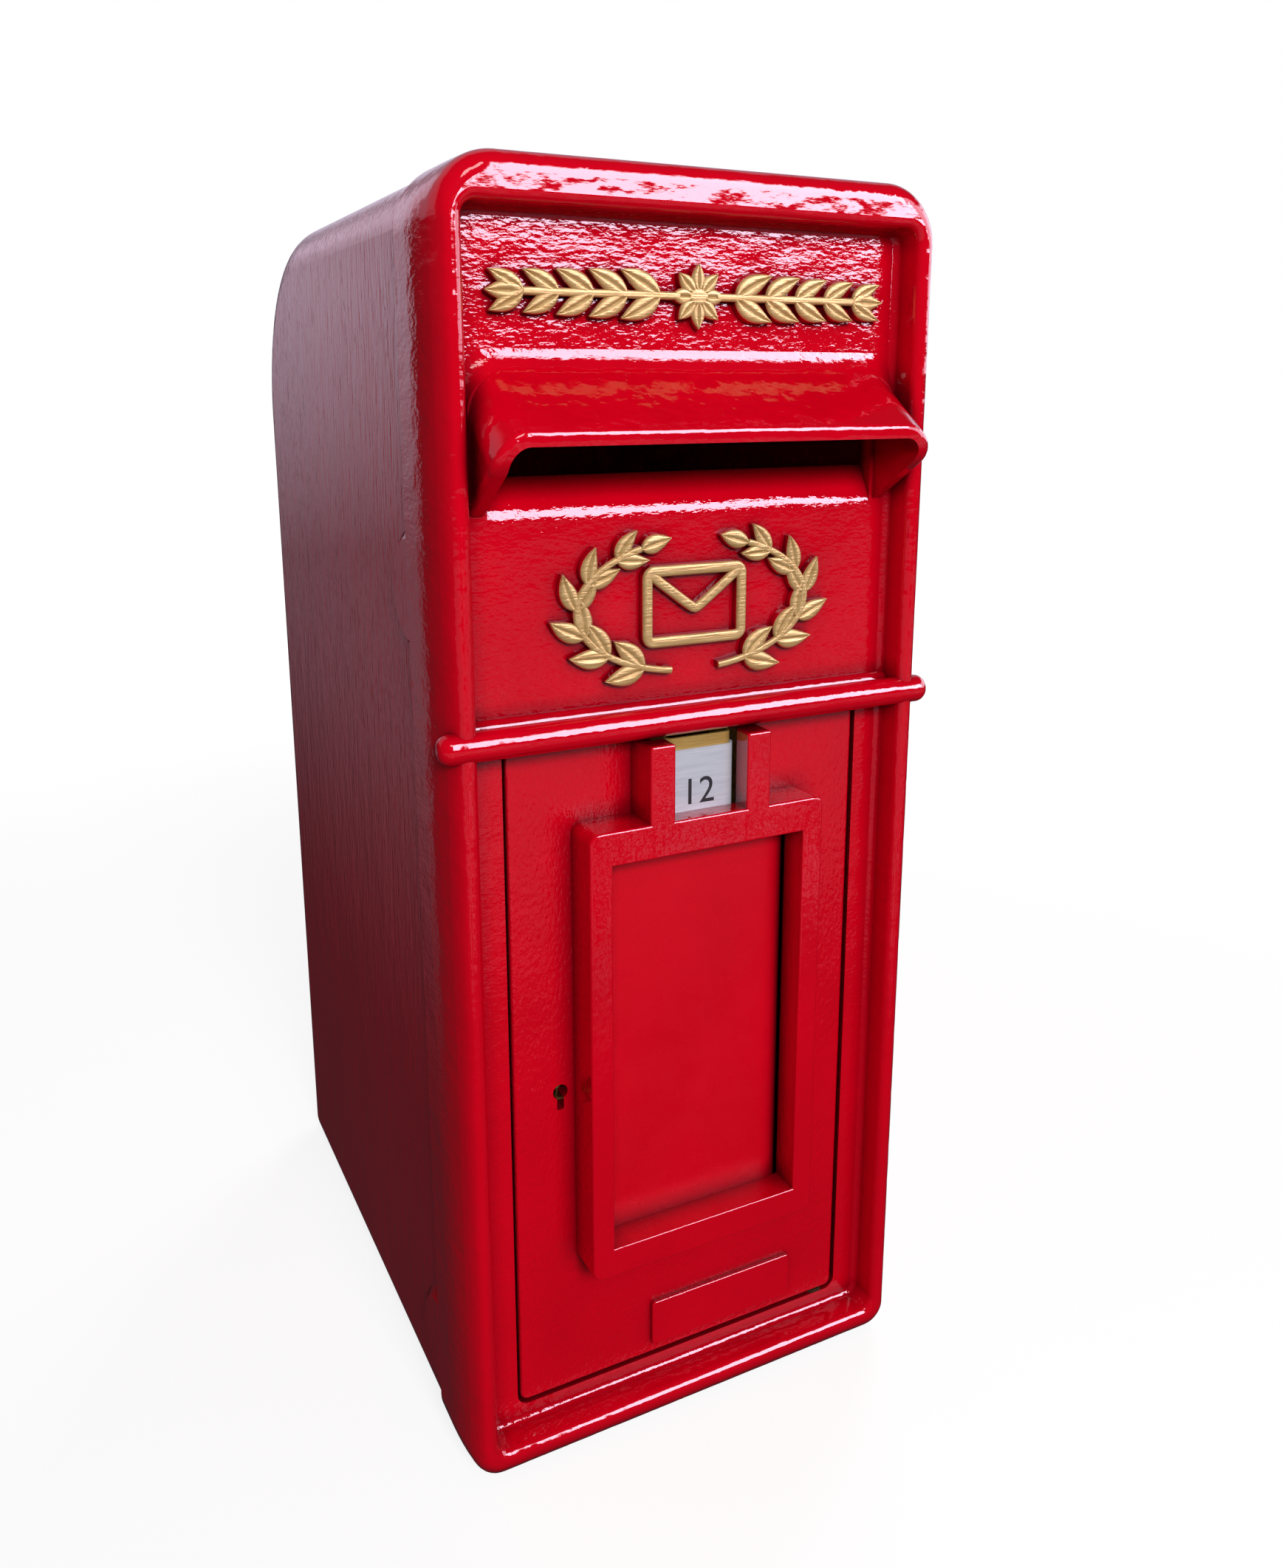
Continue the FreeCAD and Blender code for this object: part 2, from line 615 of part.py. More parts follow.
def frame_washer(x, height):
    start = Vector(x, LIP_BACK + CASE_LUG_DEPTH, height)
    ring = rod(start, Y_AXIS, WASHER_OUTER / 2, WASHER_THICK)
    return ring.cut(rod(start, Y_AXIS, (BOLT_SIZE + BOLT_CLEARANCE) / 2, WASHER_THICK))


def at_each_lug(make):
    return [make(side * LUG_X, height) for side in (-1, 1) for height in LUG_HEIGHTS]


# Hinge

def hinge_pin(is_upper):
    """Plain pin, pressed into the door's edge and turning in the front casting."""
    if is_upper:
        low = DOOR_HIGH - PIN_IN_DOOR
    else:
        low = OPENING_LOW - PIN_IN_FRAME + PIN_CLEARANCE
    length = PIN_IN_DOOR + DOOR_GAP + PIN_IN_FRAME - PIN_CLEARANCE
    pin = rod(Vector(PIN_X, PIN_Y, low), Z_AXIS, PIN_RADIUS, length)
    ends = edges_in_plane(pin, "Z", low) + edges_in_plane(pin, "Z", low + length)
    return pin.makeChamfer(PIN_RADIUS / 5, ends)


def hinge_keeper(is_upper):
    """Plate behind a hinge pin, with a tongue that closes the pin's slot."""
    low = keeper_low(is_upper)
    high = low + KEEPER_HEIGHT
    half = KEEPER_WIDTH / 2
    corner = KEEPER_HEIGHT / 4
    plate = front_solid(rectangle(PIN_X - half, PIN_X + half, low, high, corner, corner),
                        PANEL_BACK, PANEL_BACK + KEEPER_THICK)
    seat_low = LEDGE_UNDERSIDE if is_upper else OPENING_LOW - PIN_IN_FRAME
    tongue_front = PIN_Y + PIN_RADIUS + PIN_CLEARANCE
    tongue = block(PIN_X - PIN_RADIUS, PIN_X + PIN_RADIUS, tongue_front, PANEL_BACK + NEAR,
                   seat_low, seat_low + PIN_IN_FRAME)
    holes = [screw_hole(tip) for tip in keeper_screw_tips()]
    return plate.fuse(tongue).cut(holes).removeSplitter()


def pivot_washer():
    """Thrust washer on the sill that the door's lower edge turns on."""
    start = Vector(PIN_X, PIN_Y, OPENING_LOW)
    thick = DOOR_GAP - PIVOT_WASHER_CLEARANCE
    ring = rod(start, Z_AXIS, PIVOT_WASHER_RADIUS, thick)
    ring = ring.cut(rod(start, Z_AXIS, PIN_RADIUS + PIN_CLEARANCE, thick))
    return ring.common(block(PIN_X - PIVOT_WASHER_RADIUS, PIN_X + PIVOT_WASHER_RADIUS, FACE, PANEL_BACK,
                             OPENING_LOW, DOOR_LOW))


# Door

def notice_frame():
    """Raised frame with two prongs above it, standing on the door's face."""
    half = NOTICE_HALF
    outer = PRONG_INNER + PRONG_WIDTH
    tip = NOTICE_EDGE_ROUND
    right = [(half, NOTICE_LOW, NOTICE_CORNER), (half, NOTICE_HIGH, NOTICE_CORNER), (outer, NOTICE_HIGH, 0),
             (outer, DOOR_HIGH, tip), (PRONG_INNER, DOOR_HIGH, tip), (PRONG_INNER, NOTICE_HIGH, 0)]
    left = [(-x, z, radius) for x, z, radius in reversed(right)]
    front = FACE - NOTICE_PROUD
    frame = front_solid(right + left, front, FACE + DOOR_THICK / 2)
    frame = frame.makeFillet(NOTICE_EDGE_ROUND, edges_in_plane(frame, "Y", front))
    frame = frame.cut(block(-WINDOW_HALF, WINDOW_HALF, front - PAST, FACE + DOOR_THICK, WINDOW_LOW, WINDOW_HIGH))
    sight = [e for e in edges_in_plane(frame, "Y", front) if e.BoundBox.XLength < 2 * WINDOW_HALF + NEAR
             and abs(e.BoundBox.Center.x) < WINDOW_HALF + NEAR and WINDOW_LOW - NEAR < e.BoundBox.ZMin
             and e.BoundBox.ZMax < WINDOW_HIGH + NEAR]
    return frame.makeFillet(WINDOW_EDGE_ROUND, sight)


def channel(half, front, depth, sheet, bend, low, high):
    """Upright sheet with a flat front, bent back in a round along both sides."""
    back = front + depth
    inside = half - sheet
    outer = [(-half, back, 0), (-half, front, bend), (half, front, bend), (half, back, 0)]
    inner = [(inside, back, 0), (inside, front + sheet, bend - sheet), (-inside, front + sheet, bend - sheet),
             (-inside, back, 0)]
    return plan_solid(outer + inner, low, high)


def keyhole(y0, y1):
    """Round hole with a slot below it for the key's bit."""
    hole = rod(Vector(KEYHOLE_X, y0, KEYHOLE_Z), Y_AXIS, KEYHOLE_RADIUS, y1 - y0)
    half = KEYHOLE_SLOT_WIDTH / 2
    slot = rectangle(KEYHOLE_X - half, KEYHOLE_X + half, KEYHOLE_Z - KEYHOLE_DROP, KEYHOLE_Z, half / 2, 0)
    return hole.fuse(front_solid(slot, y0, y1))


def clip_places():
    """Side and height of each clip behind the notice plate."""
    return [(side, z) for side in (-1, 1) for z in (WINDOW_LOW + CLIP_MARGIN, WINDOW_HIGH - CLIP_MARGIN)]


def clip_screw_tips():
    x = HOLLOW_HALF + CLIP_FOOT / 2
    return [Vector(side * x, DOOR_BACK - SCREW_BITE, z) for side, z in clip_places()]


def holder_screw_tips():
    x = (TABLET_HOLLOW + HOLDER_FOOT) / 2
    low = TABLET_LOW + HOLDER_SCREW_LIFT
    high = DOOR_HIGH - HOLDER_TOP_GAP - HOLDER_SCREW_LIFT
    return [Vector(side * x, DOOR_BACK - SCREW_BITE, z) for side in (-1, 1) for z in (low, high)]


def lock_post_places():
    """Places of the lock's screws, where the door is solid behind the keyhole's side of the window."""
    left = LOCK_LEFT + LOCK_POST_INSET
    low = LOCK_BOTTOM + LOCK_POST_INSET
    return [(left, low), (-HOLLOW_HALF - LOCK_POST_INSET, low), (left, LOCK_TOP - LOCK_POST_INSET)]


def lock_screw_tips():
    return [Vector(x, DOOR_BACK - SCREW_BITE, z) for x, z in lock_post_places()]


def door_casting():
    corner = OPENING_CORNER - DOOR_GAP
    plate = front_solid(rectangle(-DOOR_HALF, DOOR_HALF, DOOR_LOW, DOOR_HIGH, corner, 0), FACE, DOOR_BACK)
    hinge_edges = [e for e in edges_in_plane(plate, "X", DOOR_HALF) if e.BoundBox.ZLength > DOOR_HIGH / 2]
    plate = plate.makeFillet(DOOR_EDGE_ROUND, hinge_edges)
    pad_low = DOOR_LOW + PAD_MARGIN
    pad = front_solid(rectangle(PAD_LEFT, PAD_LEFT + PAD_WIDTH, pad_low, pad_low + PAD_HEIGHT,
                                PAD_CORNER, PAD_CORNER), FACE - PAD_PROUD, FACE + DOOR_THICK / 2)
    pad = pad.makeFillet(PAD_PROUD / 3, edges_in_plane(pad, "Y", FACE - PAD_PROUD))
    half = TABLET_HOLLOW / 2
    past = DOOR_BACK + PAST
    cuts = [block(-HOLLOW_HALF, HOLLOW_HALF, WINDOW_BACK, past,
                  WINDOW_LOW - PLATE_LAP, WINDOW_HIGH + PLATE_LAP),
            block(-half, half, PRONG_BACK, past, TABLET_LOW, DOOR_HIGH + PAST),
            keyhole(FACE - PAST, past)]
    for low in (DOOR_LOW - PAST, DOOR_HIGH - PIN_IN_DOOR):
        cuts.append(rod(Vector(PIN_X, PIN_Y, low), Z_AXIS, PIN_RADIUS, PIN_IN_DOOR + PAST))
    cuts += [screw_hole(tip) for tip in clip_screw_tips() + holder_screw_tips() + lock_screw_tips()]
    return plate.fuse([notice_frame(), pad]).cut(cuts).removeSplitter()


def notice_plate():
    """Smooth sheet behind the window, bent back along its sides to the door's back."""
    low = WINDOW_LOW - PLATE_LAP + PLATE_CLEARANCE
    high = WINDOW_HIGH + PLATE_LAP - PLATE_CLEARANCE
    return channel(PLATE_HALF, WINDOW_BACK, DOOR_BACK - WINDOW_BACK, PLATE_SHEET, PLATE_BEND, low, high)


def notice_clip(side, height):
    """Strip screwed to the door's back, with its toe over the bent edge of the notice plate."""
    half = CLIP_WIDTH / 2
    corners = rectangle(PLATE_HALF - CLIP_TOE, HOLLOW_HALF + CLIP_FOOT, height - half, height + half,
                        half / 2, half / 2)
    strip = front_solid(corners, DOOR_BACK, DOOR_BACK + CLIP_SHEET)
    tip = Vector(HOLLOW_HALF + CLIP_FOOT / 2, DOOR_BACK - SCREW_BITE, height)
    strip = strip.cut(screw_hole(tip))
    return strip if side > 0 else mirrored(strip)


def tablet():
    """Thin sheet that slips over its holder, bent round it at both sides."""
    return channel(TABLET_WIDTH / 2, PRONG_BACK, TABLET_SIDE, TABLET_SHEET, TABLET_BEND,
                   TABLET_LOW, TABLET_LOW + TABLET_HEIGHT)


def tablet_holder():
    """Brass strip inside the tablet, bent back each side to a foot on the door's back."""
    skin = TABLET_SHEET + HOLDER_SLIP
    outer = TABLET_WIDTH / 2 - skin
    inner = outer - HOLDER_SHEET
    front = PRONG_BACK + skin
    bend = TABLET_BEND - skin
    back = DOOR_BACK + HOLDER_SHEET
    reach = TABLET_HOLLOW / 2 + HOLDER_FOOT
    right = [(outer, front, bend), (outer, DOOR_BACK, 0), (reach, DOOR_BACK, 0), (reach, back, 0),
             (inner, back, 0), (inner, front + HOLDER_SHEET, bend - HOLDER_SHEET)]
    left = [(-x, y, radius) for x, y, radius in reversed(right)]
    strip = plan_solid(right + left, TABLET_LOW, DOOR_HIGH - HOLDER_TOP_GAP)
    return strip.cut([screw_hole(tip) for tip in holder_screw_tips()])


# Lock

def lock_case():
    """Tray on the door's back with screw posts in its corners and a guide post for the bolt."""
    tray = block(LOCK_LEFT, LOCK_RIGHT, DOOR_BACK, LOCK_BACK, LOCK_BOTTOM, LOCK_TOP)
    wall = LOCK_WALL
    tray = tray.cut(block(LOCK_LEFT + wall, LOCK_RIGHT - wall, DOOR_BACK + wall, LOCK_BACK,
                          LOCK_BOTTOM + wall, LOCK_TOP - wall))
    posts = [rod(Vector(x, DOOR_BACK, z), Y_AXIS, LOCK_POST_RADIUS, LOCK_DEPTH) for x, z in lock_post_places()]
    posts.append(rod(Vector(KEYHOLE_X, DOOR_BACK, BOLT_LOW + GUIDE_RISE), Y_AXIS, GUIDE_RADIUS, LOCK_DEPTH))
    tray = tray.fuse(posts)
    mouth = block(LOCK_LEFT - PAST, LOCK_LEFT + wall + PAST, BOLT_FRONT - LOCK_SLIP,
                  BOLT_FRONT + LOCK_BOLT_THICK + LOCK_SLIP, BOLT_LOW - LOCK_SLIP, BOLT_HIGH + LOCK_SLIP)
    holes = [rod(Vector(x, DOOR_BACK, z), Y_AXIS, SCREW_RADIUS, LOCK_DEPTH) for x, z in lock_post_places()]
    return tray.cut([mouth, keyhole(DOOR_BACK - PAST, DOOR_BACK + wall + PAST)] + holes).removeSplitter()


def lock_cover():
    """Flat plate that closes the lock, held by the same screws."""
    corner = LOCK_WALL
    plate = front_solid(rectangle(LOCK_LEFT, LOCK_RIGHT, LOCK_BOTTOM, LOCK_TOP, corner, corner),
                        LOCK_BACK, LOCK_BACK + LOCK_WALL)
    holes = [rod(Vector(x, LOCK_BACK, z), Y_AXIS, SCREW_RADIUS, LOCK_WALL) for x, z in lock_post_places()]
    return plate.cut(holes)


def lock_bolt():
    """Flat bolt, drawn back: a talon below for the key and a long slot over the guide post."""
    tip = LOCK_LEFT - LOCK_SLIP
    back = BOLT_FRONT + LOCK_BOLT_THICK
    bar = block(tip, BOLT_TAIL, BOLT_FRONT, back, BOLT_LOW, BOLT_HIGH)
    talon = rod(Vector(KEYHOLE_X + LOCK_THROW / 2, BOLT_FRONT, BOLT_LOW), Y_AXIS, TALON_RADIUS, LOCK_BOLT_THICK)
    radius = GUIDE_RADIUS + LOCK_SLIP
    middle = BOLT_LOW + GUIDE_RISE
    ends = (KEYHOLE_X, KEYHOLE_X + LOCK_THROW)
    guide = [rod(Vector(x, BOLT_FRONT, middle), Y_AXIS, radius, LOCK_BOLT_THICK) for x in ends]
    guide.append(block(ends[0], ends[1], BOLT_FRONT, back, middle - radius, middle + radius))
    return bar.cut([talon] + guide)


def bolt_spring():
    """Bowed leaf on the bolt that rubs under the top of the lock case, and stays clear of its posts."""
    rise = LOCK_TOP - LOCK_WALL - LOCK_SLIP - BOLT_HIGH
    left = LOCK_LEFT + LOCK_POST_INSET + LOCK_POST_RADIUS + LOCK_THROW + 2 * LOCK_SLIP
    half = (BOLT_TAIL - left) / 2
    middle = left + half
    front = BOLT_FRONT + (LOCK_BOLT_THICK - SPRING_DEPTH) / 2

    def bow(height, reach):
        ends = [Vector(middle + side * reach, front, BOLT_HIGH) for side in (-1, 1)]
        return Part.Arc(ends[0], Vector(middle, front, BOLT_HIGH + height), ends[1]).toShape()

    outer = bow(rise, half)
    inner = bow(rise - SPRING_SHEET, half - SPRING_SHEET)
    feet = [Part.LineSegment(outer.Vertexes[i].Point, inner.Vertexes[i].Point).toShape() for i in (0, 1)]
    face = Part.Face(Part.Wire(Part.__sortEdges__([outer, feet[1], inner, feet[0]])))
    return face.extrude(Y_AXIS * SPRING_DEPTH)


def screws(tips, head_seat):
    return [small_screw(tip, head_seat) for tip in tips]


def pieces():
    """Every node of the assembly: its name and its one or more solids."""
    return {
        "body_shell": [body_shell()],
        "front_casting": [front_casting()],
        "frame_bolts": at_each_lug(frame_bolt),
        "frame_washers": at_each_lug(frame_washer),
        "hinge_keeper_upper": [hinge_keeper(True)],
        "hinge_keeper_lower": [hinge_keeper(False)],
        "keeper_screws": screws(keeper_screw_tips(), PANEL_BACK + KEEPER_THICK),
        "pivot_washer": [pivot_washer()],
        "door_casting": [door_casting()],
        "hinge_pin_upper": [hinge_pin(True)],
        "hinge_pin_lower": [hinge_pin(False)],
        "notice_plate": [notice_plate()],
        "notice_clips": [notice_clip(side, height) for side, height in clip_places()],
        "clip_screws": screws(clip_screw_tips(), DOOR_BACK + CLIP_SHEET),
        "tablet": [tablet()],
        "tablet_holder": [tablet_holder()],
        "holder_screws": screws(holder_screw_tips(), DOOR_BACK + HOLDER_SHEET),
        "lock_case": [lock_case()],
        "lock_cover": [lock_cover()],
        "lock_screws": screws(lock_screw_tips(), LOCK_BACK + LOCK_WALL),
        "lock_bolt": [lock_bolt()],
        "bolt_spring": [bolt_spring()],
    }


def main():
    os.makedirs("parts", exist_ok=True)
    for name, solids in pieces().items():
        shape = solids[0] if len(solids) == 1 else Part.makeCompound(solids)
        shape.exportStep("parts/" + name + ".step")
        print(name, len(shape.Solids), "valid" if shape.isValid() else "not valid", round(shape.Volume, 1))


main()
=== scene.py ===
import math

import bpy
import numpy as np
from bpy.props import FloatProperty, FloatVectorProperty, IntProperty, PointerProperty, StringProperty
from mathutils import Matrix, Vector


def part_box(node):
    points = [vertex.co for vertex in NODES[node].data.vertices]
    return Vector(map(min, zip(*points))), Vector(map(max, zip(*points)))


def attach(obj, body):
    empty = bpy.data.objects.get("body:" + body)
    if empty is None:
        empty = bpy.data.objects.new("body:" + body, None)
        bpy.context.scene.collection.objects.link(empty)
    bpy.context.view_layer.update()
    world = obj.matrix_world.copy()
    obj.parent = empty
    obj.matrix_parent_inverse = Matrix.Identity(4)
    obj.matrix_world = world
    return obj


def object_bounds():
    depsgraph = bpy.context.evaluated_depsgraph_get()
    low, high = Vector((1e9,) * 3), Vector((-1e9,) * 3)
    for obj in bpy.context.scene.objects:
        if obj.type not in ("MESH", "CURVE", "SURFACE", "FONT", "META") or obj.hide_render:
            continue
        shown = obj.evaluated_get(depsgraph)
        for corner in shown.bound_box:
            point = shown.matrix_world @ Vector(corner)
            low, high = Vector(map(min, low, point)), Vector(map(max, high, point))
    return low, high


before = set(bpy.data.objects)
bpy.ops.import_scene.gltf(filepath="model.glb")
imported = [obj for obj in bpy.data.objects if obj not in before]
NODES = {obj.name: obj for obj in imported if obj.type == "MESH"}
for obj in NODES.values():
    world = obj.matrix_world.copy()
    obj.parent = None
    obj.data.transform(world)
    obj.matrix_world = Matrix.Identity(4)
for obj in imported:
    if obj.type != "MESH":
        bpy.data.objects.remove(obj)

bl_info = {
    "name": "Cast-iron letter box",
    "version": (1, 0, 0),
    "blender": (4, 5, 0),
    "location": "View3D > Sidebar > Letter box",
    "description": "Finishes, raised ornaments and studio for a wall letter box",
    "category": "Object",
}

MM = 0.001
CAD_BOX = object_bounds()

# Front face of the door, which the panels above it share
DOOR_THICK = 8 * MM
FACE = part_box("door_casting")[1].y - DOOR_THICK

# Painted shade in crevices: ambient occlusion darkens the enamel, fully up to the first openness, and no longer from
# the second
CREVICE_SHADE_RED = "5E000B"
CREVICE_REACH = 11 * MM
CREVICE_DARK, CREVICE_UNSHADED = 0.4, 0.95
# Painted shade inside the front casting, as in its slot, where the colour goes black: limits from where the painted
# shade starts to where it is full
INSIDE_SHADE_BLACK = "160303"
INSIDE_SHADE_DEPTH = (2 * MM, 10 * MM)
INSIDE_SHADE_HALF_WIDTH = (108 * MM, 106 * MM)
INSIDE_SHADE_LOW = (12 * MM, 16 * MM)
INSIDE_SHADE_HIGH = (566 * MM, 562 * MM)
# Shares of the mean roughness between which the gloss varies
ROUGHNESS_SPREAD = (0.6, 1.4)
# A surface less than the first in front of the face is panel, and more than the second is raised
PANEL_DEPTH, PROUD_DEPTH = 1 * MM, 2.5 * MM

# Cross-section of a raised bar: shares of its half width and of its rise, unless in mm
WALL_FOOT = 1.14
WALL_SHARE = 0.72
WALL_ROOT = 0.6 * MM
CROWN_HALF = 0.97
CROWN_FOOT = 0.6
VEIN_HALF = 0.16
VEIN_DEPTH = 0.7 * MM
# Edges that turn by more than this are shaded sharp
SHARP_EDGE = math.radians(38)

# Leaves: their sideways bend is a share of their length, and the last pair's size a share of the first's
LEAF_STEPS = 15
LEAF_POINT = 0.25 * MM
LEAF_BEND = 0.16
LAST_LEAF = 0.8

# Garland and its rosette: what concerns the tip is in shares of a leaf
GARLAND_FIRST_PAIR = 18 * MM
GARLAND_STEM_START = 9 * MM
GARLAND_STEM_HALF = 1.7 * MM
GARLAND_STEM_STEPS = 24
GARLAND_SPLAY = math.radians(37)
GARLAND_TIP_OVERHANG = 0.7
GARLAND_TIP_LENGTH, GARLAND_TIP_WIDTH = 0.8, 0.9
PETALS = 8
PETAL_START, PETAL_LENGTH, PETAL_HALF = 2.5 * MM, 10.5 * MM, 3.4 * MM
BUTTON_RADIUS, BUTTON_POINT, BUTTON_STEPS = 4.2 * MM, 0.1 * MM, 13
# The button's path stops just short of its edge
BUTTON_TRIM = 0.998

# Wreath and envelope
WREATH_ARC = (math.radians(-78), math.radians(62))
WREATH_STEPS = 60
WREATH_PAIRS, WREATH_FIRST_STEP, WREATH_LAST_STEP = 6, 6, 53
WREATH_LEAF, WREATH_LEAF_HALF = 19 * MM, 4.7 * MM
WREATH_TIP, WREATH_TIP_HALF = 15 * MM, 4.2 * MM
WREATH_STEM_HALF = 1.6 * MM
WREATH_SPLAY = math.radians(36)
ENVELOPE_HALF_X, ENVELOPE_HALF_Z = 23.5 * MM, 15.5 * MM
ENVELOPE_CORNER, CORNER_STEPS = 3 * MM, 9
ENVELOPE_BAR_HALF = 2.5 * MM
FLAP_BAR_HALF = 2.3 * MM
FLAP_INSET = 1 * MM
FLAP_DROP = 17 * MM
FLAP_ROUND = 0.003
FLAP_STEPS = 41

# Tablet's figures: a printed film that stands a little in front of the metal and is rooted in it
TABLET_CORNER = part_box("tablet")[0]
NUMERAL_FOOT = 9 * MM
INK_PROUD = 0.04 * MM
INK_ROOT = 0.1 * MM

# Lamps, in metres: name, place, what it is aimed at, width and height, setting of its power, seen in gloss
LAMPS = (
    ("sky_light", (-0.1, -1.7, 1.95), (0.0, -0.14, 0.4), (0.6, 0.45), "sky_power", True),
    ("main_light", (-0.3, -2.12, 1.3), (0.0, -0.14, 0.3), (0.8, 0.7), "main_power", False),
    ("side_light", (-2.0, 0.6, 0.8), (-0.12, 0.0, 0.3), (1.2, 1.2), "side_power", False),
    ("back_light", (1.7, 1.5, 1.3), (0.0, 0.1, 0.3), (1.2, 1.2), "back_power", False),
)
LAMP_COLOUR = (1.0, 0.95, 0.98)
ROOM_COLOUR = (0.9, 0.93, 1.0, 1.0)
WHITE = (1.0, 1.0, 1.0, 1.0)

# Floor, in metres: its white is a little greyer near the object
FLOOR_RADIUS, FLOOR_SIDES, FLOOR_SINK = 12.0, 96, 0.5 * MM
FLOOR_NEAR, FLOOR_FAR = 0.5, 2.2
FLOOR_NEAR_WHITE, FLOOR_FAR_WHITE = 0.83, 1.0
FLOOR_MOTTLE = 0.97

# Tent, in metres and radians. Each lit part has limits: a measure, where the part starts and where it is full.
TENT_REACH, TENT_SIDES, TENT_STEPS = 3.4, 64, 25
TENT_LIFT, TENT_END = 0.3 * MM, 0.02
TENT_FLOOR_RINGS = (0.6, 1.6)
TENT_COLOUR = (0.92, 0.8, 1.0, 1.0)
TENT_DARK = 0.02
TENT_ZONES = {
    "window": (("turned", 0.24, 0.3), ("turned", 0.82, 0.76), ("up", 0.9, 1.02), ("up", 2.6, 2.3)),
    "doorway": (("turned", 0.7, 0.76), ("turned", 2.2, 1.6), ("up", 0.5, 0.6), ("up", 2.0, 1.8)),
    "wall": (("turned", 2.0, 2.3), ("right", 0.15, 0.4), ("up", 2.4, 1.2)),
    "upper": (("back", 0.6, 1.2), ("up", 0.9, 1.3)),
    "patches": (("front", 0.45, 0.8), ("up", 0.08, 0.02), ("blotch", 0.42, 0.62)),
    "corner": (("left", 0.2, 0.25), ("behind", 0.46, 0.36), ("up", 2.6, 1.6)),
}
TENT_GLOW = {"doorway": 3.0, "wall": 0.4, "upper": 0.3, "patches": 0.4}
# The corner's glow grows to the left and upwards: a measure, where it starts, where it is full, and what it adds
CORNER_GLOW = (("left", 0.22, 0.5, 0.12), ("up", 0.0, 0.8, 0.38))
# Share of the tent's glow that a reflection of a reflection sees
SECOND_REFLECTION = 0.12

# Camera of the photograph: focal length and centre in pixels, sensor in mm, place in metres, turn in degrees
PHOTO_WIDTH, PHOTO_HEIGHT = 1736, 2124
FOCAL_PIXELS = 1682.4
CENTRE_PIXELS = (850.9, 905.6)
SENSOR = 36
CAMERA_PLACE = (-0.2666, -0.6133, 0.4920)
CAMERA_TURN = (77.4, 0.15, -26.67)


# Shared helpers

def linear(code):
    """sRGB hex code to linear colour with full alpha."""
    steps = [int(code[i:i + 2], 16) / 255 for i in (0, 2, 4)]
    return tuple(s / 12.92 if s <= 0.04045 else ((s + 0.055) / 1.055) ** 2.4 for s in steps) + (1.0,)


def opaque(colour):
    """A setting's colour with full alpha."""
    return tuple(colour) + (1.0,)


def feed(tree, node, links):
    """Gives a node's inputs plain values or other nodes' outputs."""
    for socket, value in links.items():
        if isinstance(value, bpy.types.NodeSocket):
            tree.links.new(value, node.inputs[socket])
        else:
            node.inputs[socket].default_value = value


def add(tree, kind, links=None, **settings):
    """Adds a node: settings are its own properties, links feed its inputs."""
    node = tree.nodes.new("ShaderNode" + kind)
    for name, value in settings.items():
        setattr(node, name, value)
    feed(tree, node, links or {})
    return node


def spread(tree, sizes_mm):
    """Object coordinates scaled so that one unit of a pattern is the given size in mm along x, y and z."""
    place = add(tree, "TexCoord").outputs["Object"]
    return add(tree, "Mapping", {"Vector": place, "Scale": [1000 / s for s in sizes_mm]}).outputs["Vector"]


def zone(tree, limits):
    """1 inside every limit and 0 outside: the product of smooth steps, each a (value, start, end)."""
    inside = 1.0
    for value, start, end in limits:
        step = add(tree, "MapRange", {"Value": value, "From Min": start, "From Max": end},
                   interpolation_type="SMOOTHSTEP")
        inside = add(tree, "Math", {0: inside, 1: step.outputs["Result"]}, operation="MULTIPLY").outputs[0]
    return inside


def empty_material(name):
    """Material with an empty node tree; returns both."""
    material = bpy.data.materials.new(name)
    material.use_nodes = True
    material.node_tree.nodes.clear()
    return material, material.node_tree


def new_material(name):
    """Material with a Principled shader on its output; returns the material, its tree and the shader."""
    material, tree = empty_material(name)
    shader = add(tree, "BsdfPrincipled")
    add(tree, "OutputMaterial", {"Surface": shader.outputs["BSDF"]})
    return material, tree, shader


def dress(names, material):
    """Puts one material on every slot of the named CAD nodes."""
    for name in names:
        mesh = NODES[name].data
        mesh.materials.clear()
        mesh.materials.append(material)


def show(name, mesh, material):
    """Object at the origin with the mesh and one material."""
    mesh.materials.clear()
    mesh.materials.append(material)
    piece = bpy.data.objects.new(name, mesh)
    bpy.context.scene.collection.objects.link(piece)
    return piece


def new_piece(name, vertices, faces, material, body, slot):
    """Smooth mesh piece from arrays, riding on a body; its faces are turned outward by its signed volume."""
    corners = np.array([f[:3] for f in faces])
    a, b, c = (vertices[corners[:, i]] for i in range(3))
    if np.einsum("ij,ij->i", a, np.cross(b, c)).sum() < 0:
        faces = [f[::-1] for f in faces]
    mesh = bpy.data.meshes.new(name)
    mesh.from_pydata(vertices.tolist(), [], faces)
    mesh.polygons.foreach_set("use_smooth", np.ones(len(mesh.polygons), bool))
    mesh.set_sharp_from_angle(angle=SHARP_EDGE)
    piece = show(name, mesh, material)
    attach(piece, body)


# Finishes

